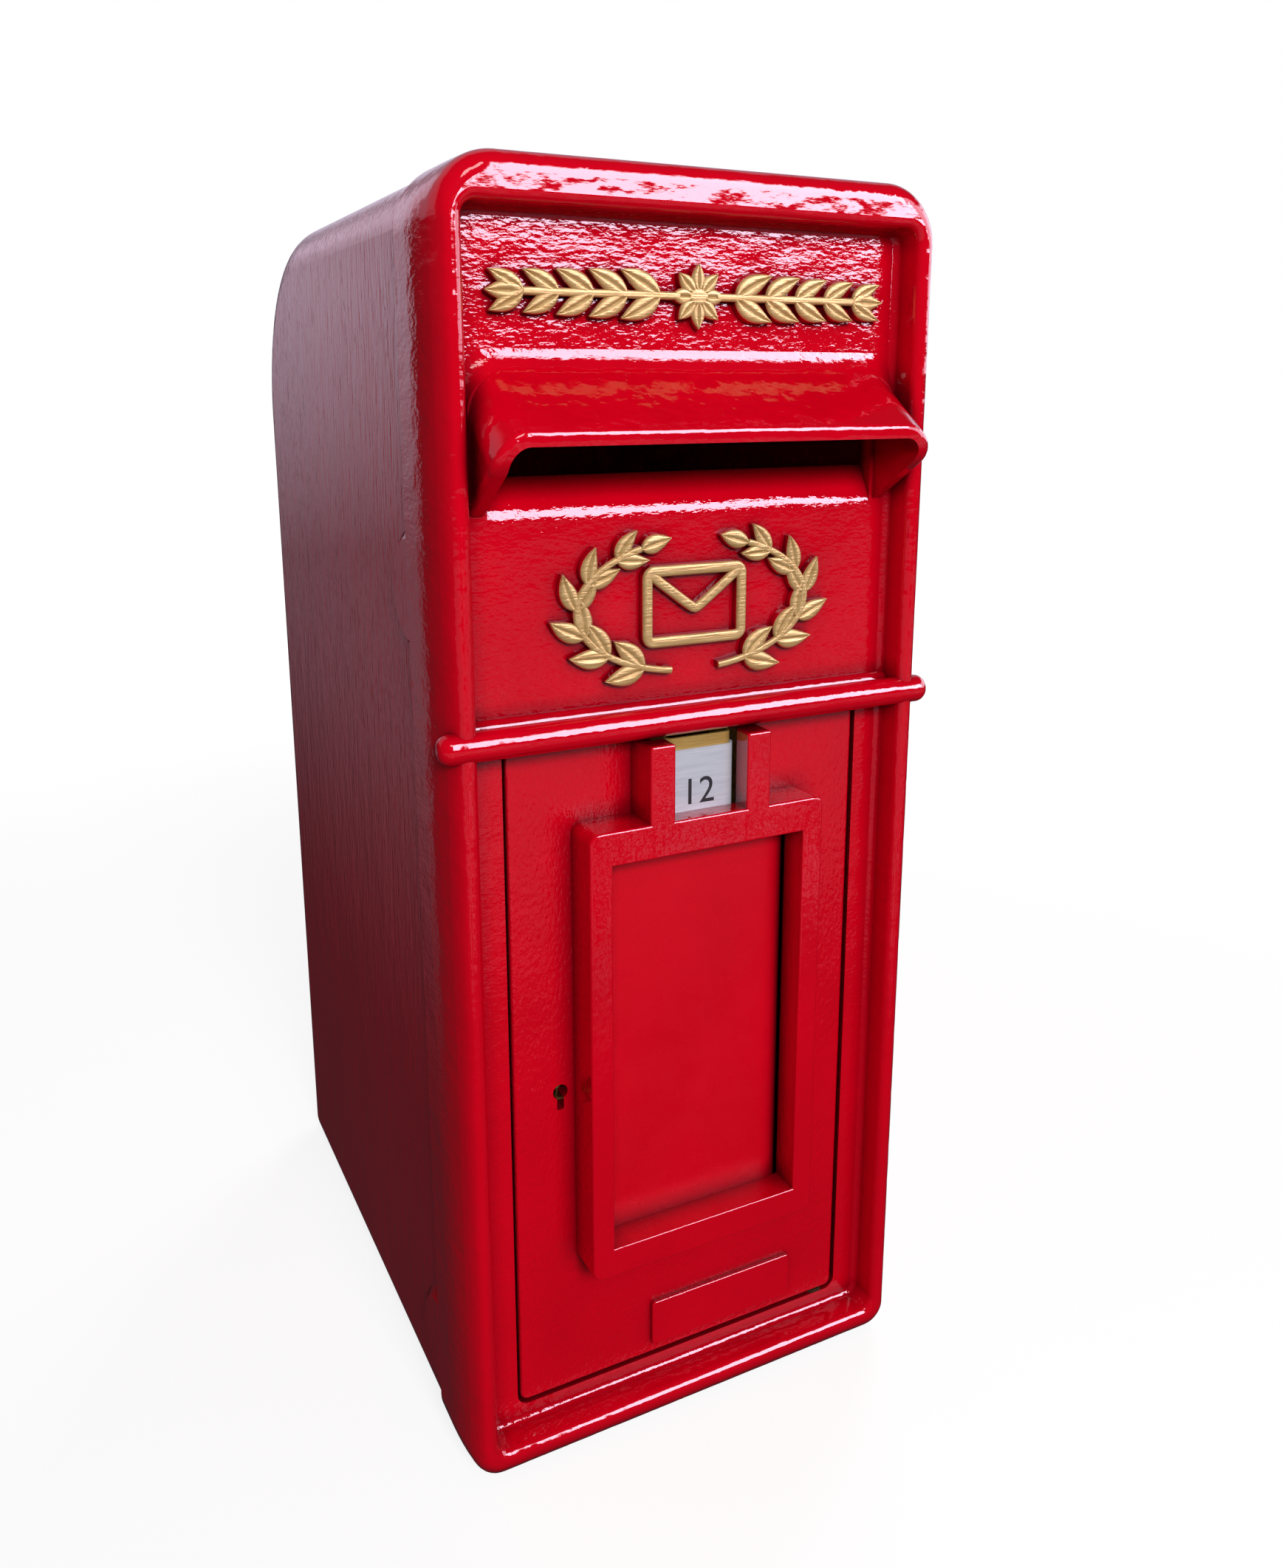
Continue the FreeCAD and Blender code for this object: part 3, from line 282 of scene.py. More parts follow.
def brushed_enamel(name, paint, layers, gloss=1.0, coat=1.0, shade_inside=False):
    """Gloss enamel brushed on a sand casting: deep red, wet gloss, brush lines, orange peel and filled pits.
    It has painted shade: darker in crevices, and black behind the front face when shade_inside is set. layers lists
    each bump: its size along x, y and z in mm, its detail, its depth in mm, and where it lies."""
    material, tree, shader = new_material(name)
    cloud = add(tree, "TexNoise", {"Vector": spread(tree, (45, 45, 60)), "Scale": 1.0, "Detail": 3.0})
    tone = add(tree, "Mix", {"Factor": cloud.outputs["Fac"], 6: opaque(paint.shade_red), 7: opaque(paint.red)},
               data_type="RGBA")
    # Painted shade: where ambient occlusion finds a crevice, the enamel is mixed towards a dark red
    openness = add(tree, "AmbientOcclusion", {"Distance": CREVICE_REACH}, samples=4)
    unshaded = add(tree, "MapRange", {"Value": openness.outputs["AO"], "From Min": CREVICE_DARK,
                                   "From Max": CREVICE_UNSHADED})
    crevice_shaded = add(tree, "Mix", {"Factor": unshaded.outputs["Result"], 6: linear(CREVICE_SHADE_RED), 7: tone.outputs[2]},
                  data_type="RGBA")
    colour = crevice_shaded.outputs[2]
    place = add(tree, "SeparateXYZ", {0: add(tree, "TexCoord").outputs["Object"]}).outputs
    # Painted shade: behind the front face, as in the slot under the hood, the colour goes black
    if shade_inside:
        across = add(tree, "Math", {0: place["X"]}, operation="ABSOLUTE").outputs[0]
        inside = zone(tree, [(place["Y"], *(FACE + depth for depth in INSIDE_SHADE_DEPTH)), (across, *INSIDE_SHADE_HALF_WIDTH),
                             (place["Z"], *INSIDE_SHADE_LOW), (place["Z"], *INSIDE_SHADE_HIGH)])
        inside_shade = add(tree, "Mix", {"Factor": inside, 6: colour, 7: linear(INSIDE_SHADE_BLACK)}, data_type="RGBA")
        colour = inside_shade.outputs[2]
    sheen = add(tree, "TexNoise", {"Vector": spread(tree, (14, 14, 14)), "Scale": 1.0, "Detail": 2.0})
    smoothest, roughest = (paint.roughness * share * gloss for share in ROUGHNESS_SPREAD)
    rough = add(tree, "MapRange", {"Value": sheen.outputs["Fac"], "To Min": smoothest, "To Max": roughest})
    panel, proud = FACE - PANEL_DEPTH, FACE - PROUD_DEPTH
    limits = {"all": [], "panel": [(place["Y"], proud, panel)], "proud": [(place["Y"], panel, proud)]}
    normal = None
    for sizes, detail, depth, part in layers:
        lumps = add(tree, "TexNoise", {"Vector": spread(tree, sizes), "Scale": 1.0, "Detail": detail})
        links = {"Height": lumps.outputs["Fac"], "Strength": zone(tree, limits[part]), "Distance": depth * MM}
        if normal is not None:
            links["Normal"] = normal
        normal = add(tree, "Bump", links).outputs["Normal"]
    feed(tree, shader, {"Base Color": colour, "Roughness": rough.outputs["Result"], "Normal": normal, "IOR": 1.5,
                        "Coat Weight": coat, "Coat Roughness": 0.03, "Coat Normal": normal})
    return material


def gold_paint(name, paint):
    """Bronze powder in varnish, brushed on: satin gold with fine lines along the stroke."""
    material, tree, shader = new_material(name)
    lines = add(tree, "TexNoise", {"Vector": spread(tree, (16, 6, 0.9)), "Scale": 1.0, "Detail": 3.0}).outputs["Fac"]
    tone = add(tree, "Mix", {"Factor": lines, 6: linear("A9803F"), 7: opaque(paint.gold)}, data_type="RGBA")
    bump = add(tree, "Bump", {"Height": lines, "Strength": 1.0, "Distance": 0.25 * MM})
    feed(tree, shader, {"Base Color": tone.outputs[2], "Normal": bump.outputs["Normal"], "Metallic": 0.45,
                        "Roughness": 0.38})
    return material


def drawn_metal(name, dark, light, line_mm, roughness, metallic):
    """Rolled, drawn or plated metal: lines along the rolling direction, or a mottle where the three sizes are alike,
    break up its reflections. The lines are drawn wider than real ones, which would be too fine to show."""
    material, tree, shader = new_material(name)
    lines = add(tree, "TexNoise", {"Vector": spread(tree, line_mm), "Scale": 1.0, "Detail": 3.0}).outputs["Fac"]
    tone = add(tree, "Mix", {"Factor": lines, 6: linear(dark), 7: linear(light)}, data_type="RGBA")
    bump = add(tree, "Bump", {"Height": lines, "Strength": 0.6, "Distance": 0.1 * MM})
    feed(tree, shader, {"Base Color": tone.outputs[2], "Normal": bump.outputs["Normal"], "Metallic": metallic,
                        "Roughness": roughness})
    return material


def printing_ink(name):
    """Printed black: a dense matt film with slightly uneven cover."""
    material, tree, shader = new_material(name)
    cover = add(tree, "TexNoise", {"Vector": spread(tree, (1.5, 1.5, 1.5)), "Scale": 1.0, "Detail": 2.0})
    tone = add(tree, "Mix", {"Factor": cover.outputs["Fac"], 6: linear("141417"), 7: linear("2A2A2E")},
               data_type="RGBA")
    feed(tree, shader, {"Base Color": tone.outputs[2], "Roughness": 0.55})
    return material


# Raised ornament: bars with a profile, carried along flat paths on the panel.
# A bar is (paths, half widths, depth of its vein, whether its path is closed).

def swept_bars(paths, halves, profile, closed=False):
    """Carries one closed profile along many flat paths at once.
    A point is path + across * half width * side, and stands height in front of the panel, where side is
    the path's left-hand normal. paths is (bars, steps, 2) in (x, z), halves (bars, steps), profile (points, 2)."""
    bars, steps, _ = paths.shape
    points = len(profile)
    if closed:
        run = np.roll(paths, -1, 1) - np.roll(paths, 1, 1)
    else:
        run = np.gradient(paths, axis=1)
    run = run / np.linalg.norm(run, axis=2, keepdims=True)
    side = np.stack([-run[..., 1], run[..., 0]], -1)
    reach = halves[:, :, None] * profile[None, None, :, 0]
    flat = paths[:, :, None, :] + reach[..., None] * side[:, :, None, :]
    depth = np.broadcast_to(FACE - profile[None, None, :, 1], flat.shape[:3])
    vertices = np.stack([flat[..., 0], depth, flat[..., 1]], -1).reshape(-1, 3)
    index = np.arange(bars * steps * points).reshape(bars, steps, points)
    ring = np.roll(index, -1, 2)
    if closed:
        quads = np.stack([index, ring, np.roll(ring, -1, 1), np.roll(index, -1, 1)], -1)
        return vertices, quads.reshape(-1, 4).tolist()
    quads = np.stack([index[:, :-1], ring[:, :-1], ring[:, 1:], index[:, 1:]], -1)
    caps = index[:, 0, ::-1].tolist() + index[:, -1, :].tolist()
    return vertices, quads.reshape(-1, 4).tolist() + caps


def joined(parts):
    """Several (vertices, faces) as one."""
    vertices, faces, offset = [], [], 0
    for some, loops in parts:
        vertices.append(some)
        faces += [[i + offset for i in loop] for loop in loops]
        offset += len(some)
    return np.concatenate(vertices), faces


def wall_profile(rise):
    """Red side walls of a raised bar: drafted, and rooted below the panel."""
    top = rise * WALL_SHARE
    return np.array([(-WALL_FOOT, -WALL_ROOT), (-1.0, top), (1.0, top), (WALL_FOOT, -WALL_ROOT)])


def crown_profile(rise, vein):
    """Gilt top of a raised bar: a low dome with round shoulders, and a vein along its middle.
    Its height is the wall's, plus the rest of the rise times the 0.6th power of one minus the fourth power of the
    way across, less a bell curve as deep as the vein."""
    across = np.linspace(-1, 1, 17)
    dome = rise * (WALL_SHARE + (1 - WALL_SHARE) * (1 - across ** 4) ** 0.6)
    dome = dome - vein * np.exp(-(across / VEIN_HALF) ** 2)
    top = np.stack([across * CROWN_HALF, dome], -1)
    foot = np.array([(CROWN_HALF, rise * CROWN_FOOT), (-CROWN_HALF, rise * CROWN_FOOT)])
    return np.concatenate([top, foot])


def leaves(bases, angles, lengths, widths, bends):
    """Leaf paths and half widths: each runs from its base along its angle and bends sideways with the square
    of the way along; its half width is a sine skewed towards the base."""
    along = np.linspace(0, 1, LEAF_STEPS)
    run = np.stack([np.cos(angles), np.sin(angles)], -1)[:, None, :]
    side = np.stack([-np.sin(angles), np.cos(angles)], -1)[:, None, :]
    way = along[None, :, None] * run + bends[:, None, None] * along[None, :, None] ** 2 * side
    paths = bases[:, None, :] + lengths[:, None, None] * way
    shape = np.sin(np.pi * along ** 0.8) ** 0.85
    halves = np.maximum(widths[:, None] * shape, LEAF_POINT)
    return paths, halves


def straight_leaves(bases, angles, length, width):
    """Bars of leaves of one size that don't bend."""
    count = len(bases)
    return (*leaves(bases, angles, np.full(count, length), np.full(count, width), np.zeros(count)), VEIN_DEPTH, False)


def paired_leaves(stem, headings, length, width, splay):
    """Bars of leaves in pairs at points of a stem, splayed each side of its heading, shorter towards its tip."""
    count = len(stem)
    taper = np.linspace(1.0, LAST_LEAF, count)
    bases = np.concatenate([stem, stem])
    angles = np.concatenate([headings + splay, headings - splay])
    size = np.concatenate([taper, taper])
    bends = np.concatenate([np.full(count, -LEAF_BEND), np.full(count, LEAF_BEND)])
    return (*leaves(bases, angles, length * size, width * size, bends), VEIN_DEPTH, False)


def even_bar(path, half, closed=False):
    """Bar of one width along a path."""
    return path[None], np.full((1, len(path)), half), 0.0, closed


def button(centre, radius):
    """Round button: a straight path whose half width follows a circle."""
    turn = np.linspace(-1, 1, BUTTON_STEPS) * np.pi / 2
    path = np.stack([np.sin(turn) * radius * BUTTON_TRIM, np.zeros(BUTTON_STEPS)], -1) + centre
    return path[None], np.maximum(radius * np.cos(turn), BUTTON_POINT)[None], 0.0, False


def rounded_frame(centre, half_x, half_z, corner):
    """Closed path round a rectangle: four straight sides joined by quarter circles."""
    turn = np.linspace(0, np.pi / 2, CORNER_STEPS)
    arcs = []
    for quarter, (sx, sz) in enumerate([(1, 1), (-1, 1), (-1, -1), (1, -1)]):
        angle = turn + quarter * np.pi / 2
        middle = np.array([sx * (half_x - corner), sz * (half_z - corner)])
        arcs.append(middle + corner * np.stack([np.cos(angle), np.sin(angle)], -1))
    return np.concatenate(arcs) + centre


def envelope_flap(centre):
    """Path of the flap's edge: a V whose point is rounded, as the square root of a square plus a small amount."""
    across = np.linspace(-1, 1, FLAP_STEPS)
    fall = FLAP_DROP * (1 - np.sqrt(across ** 2 + FLAP_ROUND))
    top = ENVELOPE_HALF_Z - FLAP_INSET
    return np.stack([across * (ENVELOPE_HALF_X - FLAP_INSET), top - fall], -1) + centre


def raised_ornament(name, bars, rise, finishes):
    """Red walls and gilt top of an ornament made of bars."""
    walls = [swept_bars(p, h, wall_profile(rise), c) for p, h, _, c in bars]
    tops = [swept_bars(p, h, crown_profile(rise, v), c) for p, h, v, c in bars]
    new_piece(name + "_walls", *joined(walls), finishes["walls"], "case", "red_paint")
    new_piece(name + "_gilt", *joined(tops), finishes["gilt"], "case", "gilt")


def ornament_finishes(context):
    """Red walls and gold tops, made once and shared by the ornaments."""
    paint = context.scene.letterbox_paint
    walls = bpy.data.materials.get("red_enamel_ornament")
    gilt = bpy.data.materials.get("gold_paint_brushed")
    if walls is None:
        walls = brushed_enamel("red_enamel_ornament", paint, [((paint.peel_size,) * 3, 2.0, 0.15, "all")])
    if gilt is None:
        gilt = gold_paint("gold_paint_brushed", paint)
    return {"walls": walls, "gilt": gilt}


# Settings

class PaintSettings(bpy.types.PropertyGroup):
    """Colours and surface of the paint."""
    red: FloatVectorProperty(name="Red", description="Gloss enamel where it lies thin", subtype="COLOR",
                             default=linear("D0001B")[:3], min=0, max=1)
    shade_red: FloatVectorProperty(name="Shade red", description="Gloss enamel where it lies thick",
                                   subtype="COLOR", default=linear("B80015")[:3], min=0, max=1)
    gold: FloatVectorProperty(name="Gold", description="Gold paint on the ornaments", subtype="COLOR",
                              default=linear("E0C68E")[:3], min=0, max=1)
    roughness: FloatProperty(name="Roughness", description="Mean roughness of the enamel", default=0.07,
                             min=0.02, max=1, subtype="FACTOR")
    peel_size: FloatProperty(name="Orange peel", description="Width of one dimple in the enamel, in mm",
                             default=3.2, min=0.5, max=10)
    pit_size: FloatProperty(name="Pits", description="Width of the casting's filled pits, in mm",
                            default=11.0, min=2, max=40)


class OrnamentSettings(bpy.types.PropertyGroup):
    """Sizes of the raised ornaments and the tablet's numeral."""
    rise: FloatProperty(name="Rise", description="Height of the ornaments above the panel",
                        default=4.2 * MM, unit="LENGTH")
    garland_half: FloatProperty(name="Garland reach", description="From the middle to each end of the garland",
                                default=92 * MM, unit="LENGTH")
    garland_height: FloatProperty(name="Garland height", description="Middle of the garland above the base",
                                  default=530 * MM, unit="LENGTH")
    leaf_length: FloatProperty(name="Leaf length", description="Length of a garland leaf", default=20 * MM,
                               unit="LENGTH")
    leaf_width: FloatProperty(name="Leaf half width", description="Half the width of a garland leaf",
                              default=4.5 * MM, unit="LENGTH")
    pairs: IntProperty(name="Leaf pairs", description="Pairs of leaves on each side of the garland",
                       default=5, min=2, max=12)
    wreath_half: FloatProperty(name="Wreath half width", description="Half the width of the wreath's stems",
                               default=57 * MM, unit="LENGTH")
    wreath_rise: FloatProperty(name="Wreath half height", description="Half the height of the wreath's stems",
                               default=29 * MM, unit="LENGTH")
    wreath_height: FloatProperty(name="Wreath height", description="Middle of the wreath above the base",
                                 default=401 * MM, unit="LENGTH")
    numeral: StringProperty(name="Numeral", description="Figures on the tablet", default="12")
    numeral_height: FloatProperty(name="Numeral height", description="Height of the tablet's figures",
                                  default=12 * MM, unit="LENGTH")


class StageSettings(bpy.types.PropertyGroup):
    """Floor and light."""
    sky_power: FloatProperty(name="Sky light", description="Power of the weak light from above", default=4,
                             unit="POWER")
    main_power: FloatProperty(name="Main light", description="Power of the large soft light in front", default=52,
                              unit="POWER")
    side_power: FloatProperty(name="Side light", description="Power of the weak light on the left", default=5.5,
                              unit="POWER")
    back_power: FloatProperty(name="Back light", description="Power of the light behind on the right", default=34,
                              unit="POWER")
    window_glow: FloatProperty(name="Window", description="Brightness of the window that the gloss reflects",
                               default=11)
    ambient: FloatProperty(name="Room light", description="Strength of the room's soft light", default=0.12)
    floor: FloatVectorProperty(name="Floor", description="Colour of the floor", subtype="COLOR",
                               default=linear("7C7C7C")[:3], min=0, max=1)


# Operators

class LETTERBOX_OT_paint(bpy.types.Operator):
    """Paint the case, the front and the door, and the smooth plate behind the window"""
    bl_idname = "letterbox.paint"
    bl_label = "Red enamel"

    def execute(self, context):
        paint = context.scene.letterbox_paint
        peel, pit = (paint.peel_size,) * 3, paint.pit_size
        # Pits first, then brush lines, then orange peel: size along x, y and z, detail, depth, where
        # The front casting also gets painted shade, black behind its front face, as in the slot
        dress(["front_casting"], brushed_enamel("red_enamel_front", paint, [
            ((1.4 * pit, 1.4 * pit, pit), 2.0, 0.55, "all"), ((3.5, 3.5, 1.6), 2.0, 0.17, "panel"),
            ((6, 6, 2), 2.0, 0.05, "proud"), (peel, 1.0, 0.05, "all")], shade_inside=True))
        dress(["door_casting"], brushed_enamel("red_enamel_door", paint, [
            ((1.1 * pit, 1.1 * pit, 1.5 * pit), 2.0, 0.42, "all"), ((1.6, 1.6, 3.2), 2.0, 0.42, "panel"),
            ((2, 2, 8), 2.0, 0.16, "proud"), (peel, 1.5, 0.15, "all")]))
        dress(["body_shell"], brushed_enamel("red_enamel_case", paint, [
            ((pit, pit, 4 * pit), 1.0, 0.25, "all"), ((2.4, 2.4, 16), 2.0, 0.3, "all"),
            ((1.6, 1.6, 1.6), 1.0, 0.03, "all")]))
        dress(["notice_plate"], brushed_enamel("red_enamel_sheet", paint, [
            ((4 * pit, 4 * pit, 4 * pit), 1.0, 0.2, "all")], gloss=4.0, coat=0.0))
        return {"FINISHED"}


class LETTERBOX_OT_metal(bpy.types.Operator):
    """Give the fittings, the tablet and its holder their metals"""
    bl_idname = "letterbox.metal"
    bl_label = "Metal fittings"

    def execute(self, context):
        # Zinc plating looks a mottled mid grey, brass a warm satin yellow, tinplate pale and cool, and oiled bronze
        # dark brown. Dark and light tone, size of the lines along x, y and z in mm, roughness, metallic share
        steel = drawn_metal("zinc_plated_steel", "8C8F92", "B9BCBF", (2, 2, 2), 0.35, 1.0)
        brass = drawn_metal("rolled_brass", "A07C38", "D8B66C", (12, 4, 0.5), 0.32, 0.5)
        tin = drawn_metal("rolled_tinplate", "B4BCC8", "DFE5EC", (14, 4, 0.6), 0.3, 0.35)
        bronze = drawn_metal("oiled_bronze", "33261A", "54402A", (2, 2, 2), 0.5, 0.5)
        dress(["tablet_holder", "lock_case", "lock_cover", "lock_bolt"], brass)
        dress(["pivot_washer"], bronze)
        dress(["tablet"], tin)
        dress(["frame_bolts", "frame_washers", "hinge_keeper_upper", "hinge_keeper_lower", "keeper_screws",
               "hinge_pin_upper", "hinge_pin_lower", "notice_clips", "clip_screws", "holder_screws",
               "lock_screws", "bolt_spring"], steel)
        return {"FINISHED"}


class LETTERBOX_OT_garland(bpy.types.Operator):
    """Add the leaf garland and its rosette on the upper panel"""
    bl_idname = "letterbox.garland"
    bl_label = "Leaf garland"

    def execute(self, context):
        size = context.scene.letterbox_ornament
        middle = np.array([0.0, size.garland_height])
        end = size.garland_half - GARLAND_TIP_OVERHANG * size.leaf_length
        bars = []
        for side in (1, -1):
            outward = np.array([side, 0.0])
            headings = np.full(size.pairs, 0.0 if side > 0 else np.pi)
            stem = np.linspace(GARLAND_FIRST_PAIR, end, size.pairs)[:, None] * outward + middle
            bars.append(paired_leaves(stem, headings, size.leaf_length, size.leaf_width, GARLAND_SPLAY))
            line = np.linspace(GARLAND_STEM_START, end, GARLAND_STEM_STEPS)[:, None] * outward + middle
            bars.append(even_bar(line, GARLAND_STEM_HALF))
            bars.append(straight_leaves(line[-1:], headings[:1], GARLAND_TIP_LENGTH * size.leaf_length,
                                        GARLAND_TIP_WIDTH * size.leaf_width))
        turns = np.arange(PETALS) * 2 * np.pi / PETALS
        hub = middle + PETAL_START * np.stack([np.cos(turns), np.sin(turns)], -1)
        bars.append(straight_leaves(hub, turns, PETAL_LENGTH, PETAL_HALF))
        bars.append(button(middle, BUTTON_RADIUS))
        raised_ornament("garland", bars, size.rise, ornament_finishes(context))
        return {"FINISHED"}


class LETTERBOX_OT_wreath(bpy.types.Operator):
    """Add the open wreath and the plain envelope on the middle panel"""
    bl_idname = "letterbox.wreath"
    bl_label = "Wreath and envelope"

    def execute(self, context):
        size = context.scene.letterbox_ornament
        middle = np.array([0.0, size.wreath_height])
        turn = np.linspace(*WREATH_ARC, WREATH_STEPS)
        pick = np.linspace(WREATH_FIRST_STEP, WREATH_LAST_STEP, WREATH_PAIRS).astype(int)
        bars = []
        for side in (1, -1):
            stem = np.stack([side * size.wreath_half * np.cos(turn), size.wreath_rise * np.sin(turn)], -1) + middle
            heading = np.gradient(stem, axis=0)
            angles = np.arctan2(heading[:, 1], heading[:, 0])
            bars.append(paired_leaves(stem[pick], angles[pick], WREATH_LEAF, WREATH_LEAF_HALF, WREATH_SPLAY))
            bars.append(even_bar(stem, WREATH_STEM_HALF))
            bars.append(straight_leaves(stem[-1:], angles[-1:], WREATH_TIP, WREATH_TIP_HALF))
        edge = rounded_frame(middle, ENVELOPE_HALF_X, ENVELOPE_HALF_Z, ENVELOPE_CORNER)
        bars.append(even_bar(edge, ENVELOPE_BAR_HALF, closed=True))
        bars.append(even_bar(envelope_flap(middle), FLAP_BAR_HALF))
        raised_ornament("wreath", bars, size.rise, ornament_finishes(context))
        return {"FINISHED"}


class LETTERBOX_OT_numeral(bpy.types.Operator):
    """Print the figures on the tablet"""
    bl_idname = "letterbox.numeral"
    bl_label = "Tablet numeral"

    def execute(self, context):
        size = context.scene.letterbox_ornament
        curve = bpy.data.curves.new("numeral_outline", "FONT")
        curve.body = size.numeral
        curve.align_x = "CENTER"
        curve.extrude = 0.01
        text = bpy.data.objects.new("numeral_outline", curve)
        context.scene.collection.objects.link(text)
        context.view_layer.update()
        mesh = bpy.data.meshes.new_from_object(text.evaluated_get(context.evaluated_depsgraph_get()))
        bpy.data.objects.remove(text)
        bpy.data.curves.remove(curve)
        place = np.zeros(len(mesh.vertices) * 3)
        mesh.vertices.foreach_get("co", place)
        place = place.reshape(-1, 3)
        if not len(place):
            raise RuntimeError("the numeral has no outline")
        # The outline is drawn flat in x and y: it is scaled, centred and stood up on the tablet
        scale = size.numeral_height / np.ptp(place[:, 1])
        across = (place[:, 0] - (place[:, 0].min() + place[:, 0].max()) / 2) * scale
        up = (place[:, 1] - place[:, 1].min()) * scale + TABLET_CORNER.z + NUMERAL_FOOT
        out = TABLET_CORNER.y + np.where(place[:, 2] > 0, -INK_PROUD, INK_ROOT)
        mesh.vertices.foreach_set("co", np.stack([across, out, up], -1).ravel())
        mesh.name = "tablet_numeral"
        piece = show("tablet_numeral", mesh, printing_ink("printed_ink"))
        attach(piece, "door")
        return {"FINISHED"}


class LETTERBOX_OT_stage(bpy.types.Operator):
    """Set up the floor, the lamps, the room, the tent and the camera"""
    bl_idname = "letterbox.stage"
    bl_label = "Studio"

    def execute(self, context):
        stage = context.scene.letterbox_stage
        context.scene.view_settings.view_transform = "Standard"
        floor(stage)
        for name, place, target, size, power, in_gloss in LAMPS:
            lamp(name, place, target, size, getattr(stage, power)).visible_glossy = in_gloss
        room(context, stage)
        tent(stage)
        camera(context)
        return {"FINISHED"}


# Stage

def white_backing(tree):
    """1 for rays that see the background directly, in a mirror or through glass, and 0 for light."""
    path = add(tree, "LightPath")
    total = path.outputs["Is Camera Ray"]
    for name in ("Is Glossy Ray", "Is Transmission Ray"):
        total = add(tree, "Math", {0: total, 1: path.outputs[name]}, operation="MAXIMUM").outputs[0]
    return total


def floor(stage):
    """Large pale disc of matt paper under the object, which shows white and keeps the object's shadow."""
    turn = np.linspace(0, 2 * np.pi, FLOOR_SIDES, endpoint=False)
    ring = np.stack([FLOOR_RADIUS * np.cos(turn), FLOOR_RADIUS * np.sin(turn), np.full(FLOOR_SIDES, -FLOOR_SINK)], -1)
    mesh = bpy.data.meshes.new("floor")
    mesh.from_pydata(ring.tolist(), [], [list(range(FLOOR_SIDES))])
    material, tree, shader = new_material("matt_paper")
    place = add(tree, "TexCoord").outputs["Object"]
    far = add(tree, "VectorMath", {0: place}, operation="LENGTH").outputs["Value"]
    white = add(tree, "MapRange", {"Value": far, "From Min": FLOOR_NEAR, "From Max": FLOOR_FAR,
                                   "To Min": FLOOR_NEAR_WHITE, "To Max": FLOOR_FAR_WHITE},
                interpolation_type="SMOOTHSTEP")
    glow = add(tree, "Math", {0: white_backing(tree), 1: white.outputs["Result"]}, operation="MULTIPLY")
    grain = add(tree, "TexNoise", {"Vector": spread(tree, (400, 400, 400)), "Scale": 1.0, "Detail": 2.0})
    tone = add(tree, "Mix", {"Factor": grain.outputs["Fac"], 6: opaque(stage.floor),
                             7: opaque(FLOOR_MOTTLE * c for c in stage.floor)}, data_type="RGBA")
    feed(tree, shader, {"Base Color": tone.outputs[2], "Roughness": 0.9, "Specular IOR Level": 0.0,
                        "Emission Color": WHITE, "Emission Strength": glow.outputs[0]})
    piece = show("floor", mesh, material)


def tent_mesh():
    """Profile of a flat floor and a quarter circle, turned about z and closed by a small disc at each end."""
    sweep = np.linspace(0, np.pi / 2, TENT_STEPS)
    dome = np.stack([TENT_REACH * np.cos(sweep), TENT_LIFT + TENT_REACH * np.sin(sweep)], -1)[:-1]
    flat = [(radius, TENT_LIFT) for radius in (TENT_END, *TENT_FLOOR_RINGS)]
    profile = np.concatenate([flat, dome, [(TENT_END, TENT_REACH)]])
    radius, height = profile[:, :1], np.repeat(profile[:, 1:], TENT_SIDES, 1)
    turn = np.linspace(0, 2 * np.pi, TENT_SIDES, endpoint=False)
    vertices = np.stack([radius * np.cos(turn), radius * np.sin(turn), height], -1).reshape(-1, 3)
    index = np.arange(len(vertices)).reshape(len(profile), TENT_SIDES)
    ring = np.roll(index, -1, 1)
    quads = np.stack([index[:-1], index[1:], ring[1:], ring[:-1]], -1)
    mesh = bpy.data.meshes.new("tent")
    mesh.from_pydata(vertices.tolist(), [], quads.reshape(-1, 4).tolist() + [index[0].tolist(), index[-1].tolist()])
    return mesh


def tent_measures(tree):
    """Where a point of the tent lies: metres each way from the origin, two angles, and a blotchy noise.
    turned goes round the object from the front to the right, and behind opens to the left from a line straight back
    along the object's left side."""
    place = add(tree, "SeparateXYZ", {0: add(tree, "TexCoord").outputs["Object"]}).outputs
    left = add(tree, "Math", {0: place["X"], 1: -1.0}, operation="MULTIPLY").outputs[0]
    front = add(tree, "Math", {0: place["Y"], 1: -1.0}, operation="MULTIPLY").outputs[0]
    turned = add(tree, "Math", {0: place["X"], 1: front}, operation="ARCTAN2").outputs[0]
    clear = add(tree, "Math", {0: left, 1: CAD_BOX[0].x}, operation="ADD").outputs[0]
    beyond = add(tree, "Math", {0: place["Y"], 1: FACE}, operation="SUBTRACT").outputs[0]
    behind = add(tree, "Math", {0: clear, 1: beyond}, operation="ARCTAN2").outputs[0]
    blotch = add(tree, "TexNoise", {"Vector": spread(tree, (120, 120, 120)), "Scale": 1.0, "Detail": 2.0})
    return {"right": place["X"], "left": left, "front": front, "back": place["Y"], "up": place["Z"],
            "turned": turned, "behind": behind, "blotch": blotch.outputs["Fac"]}


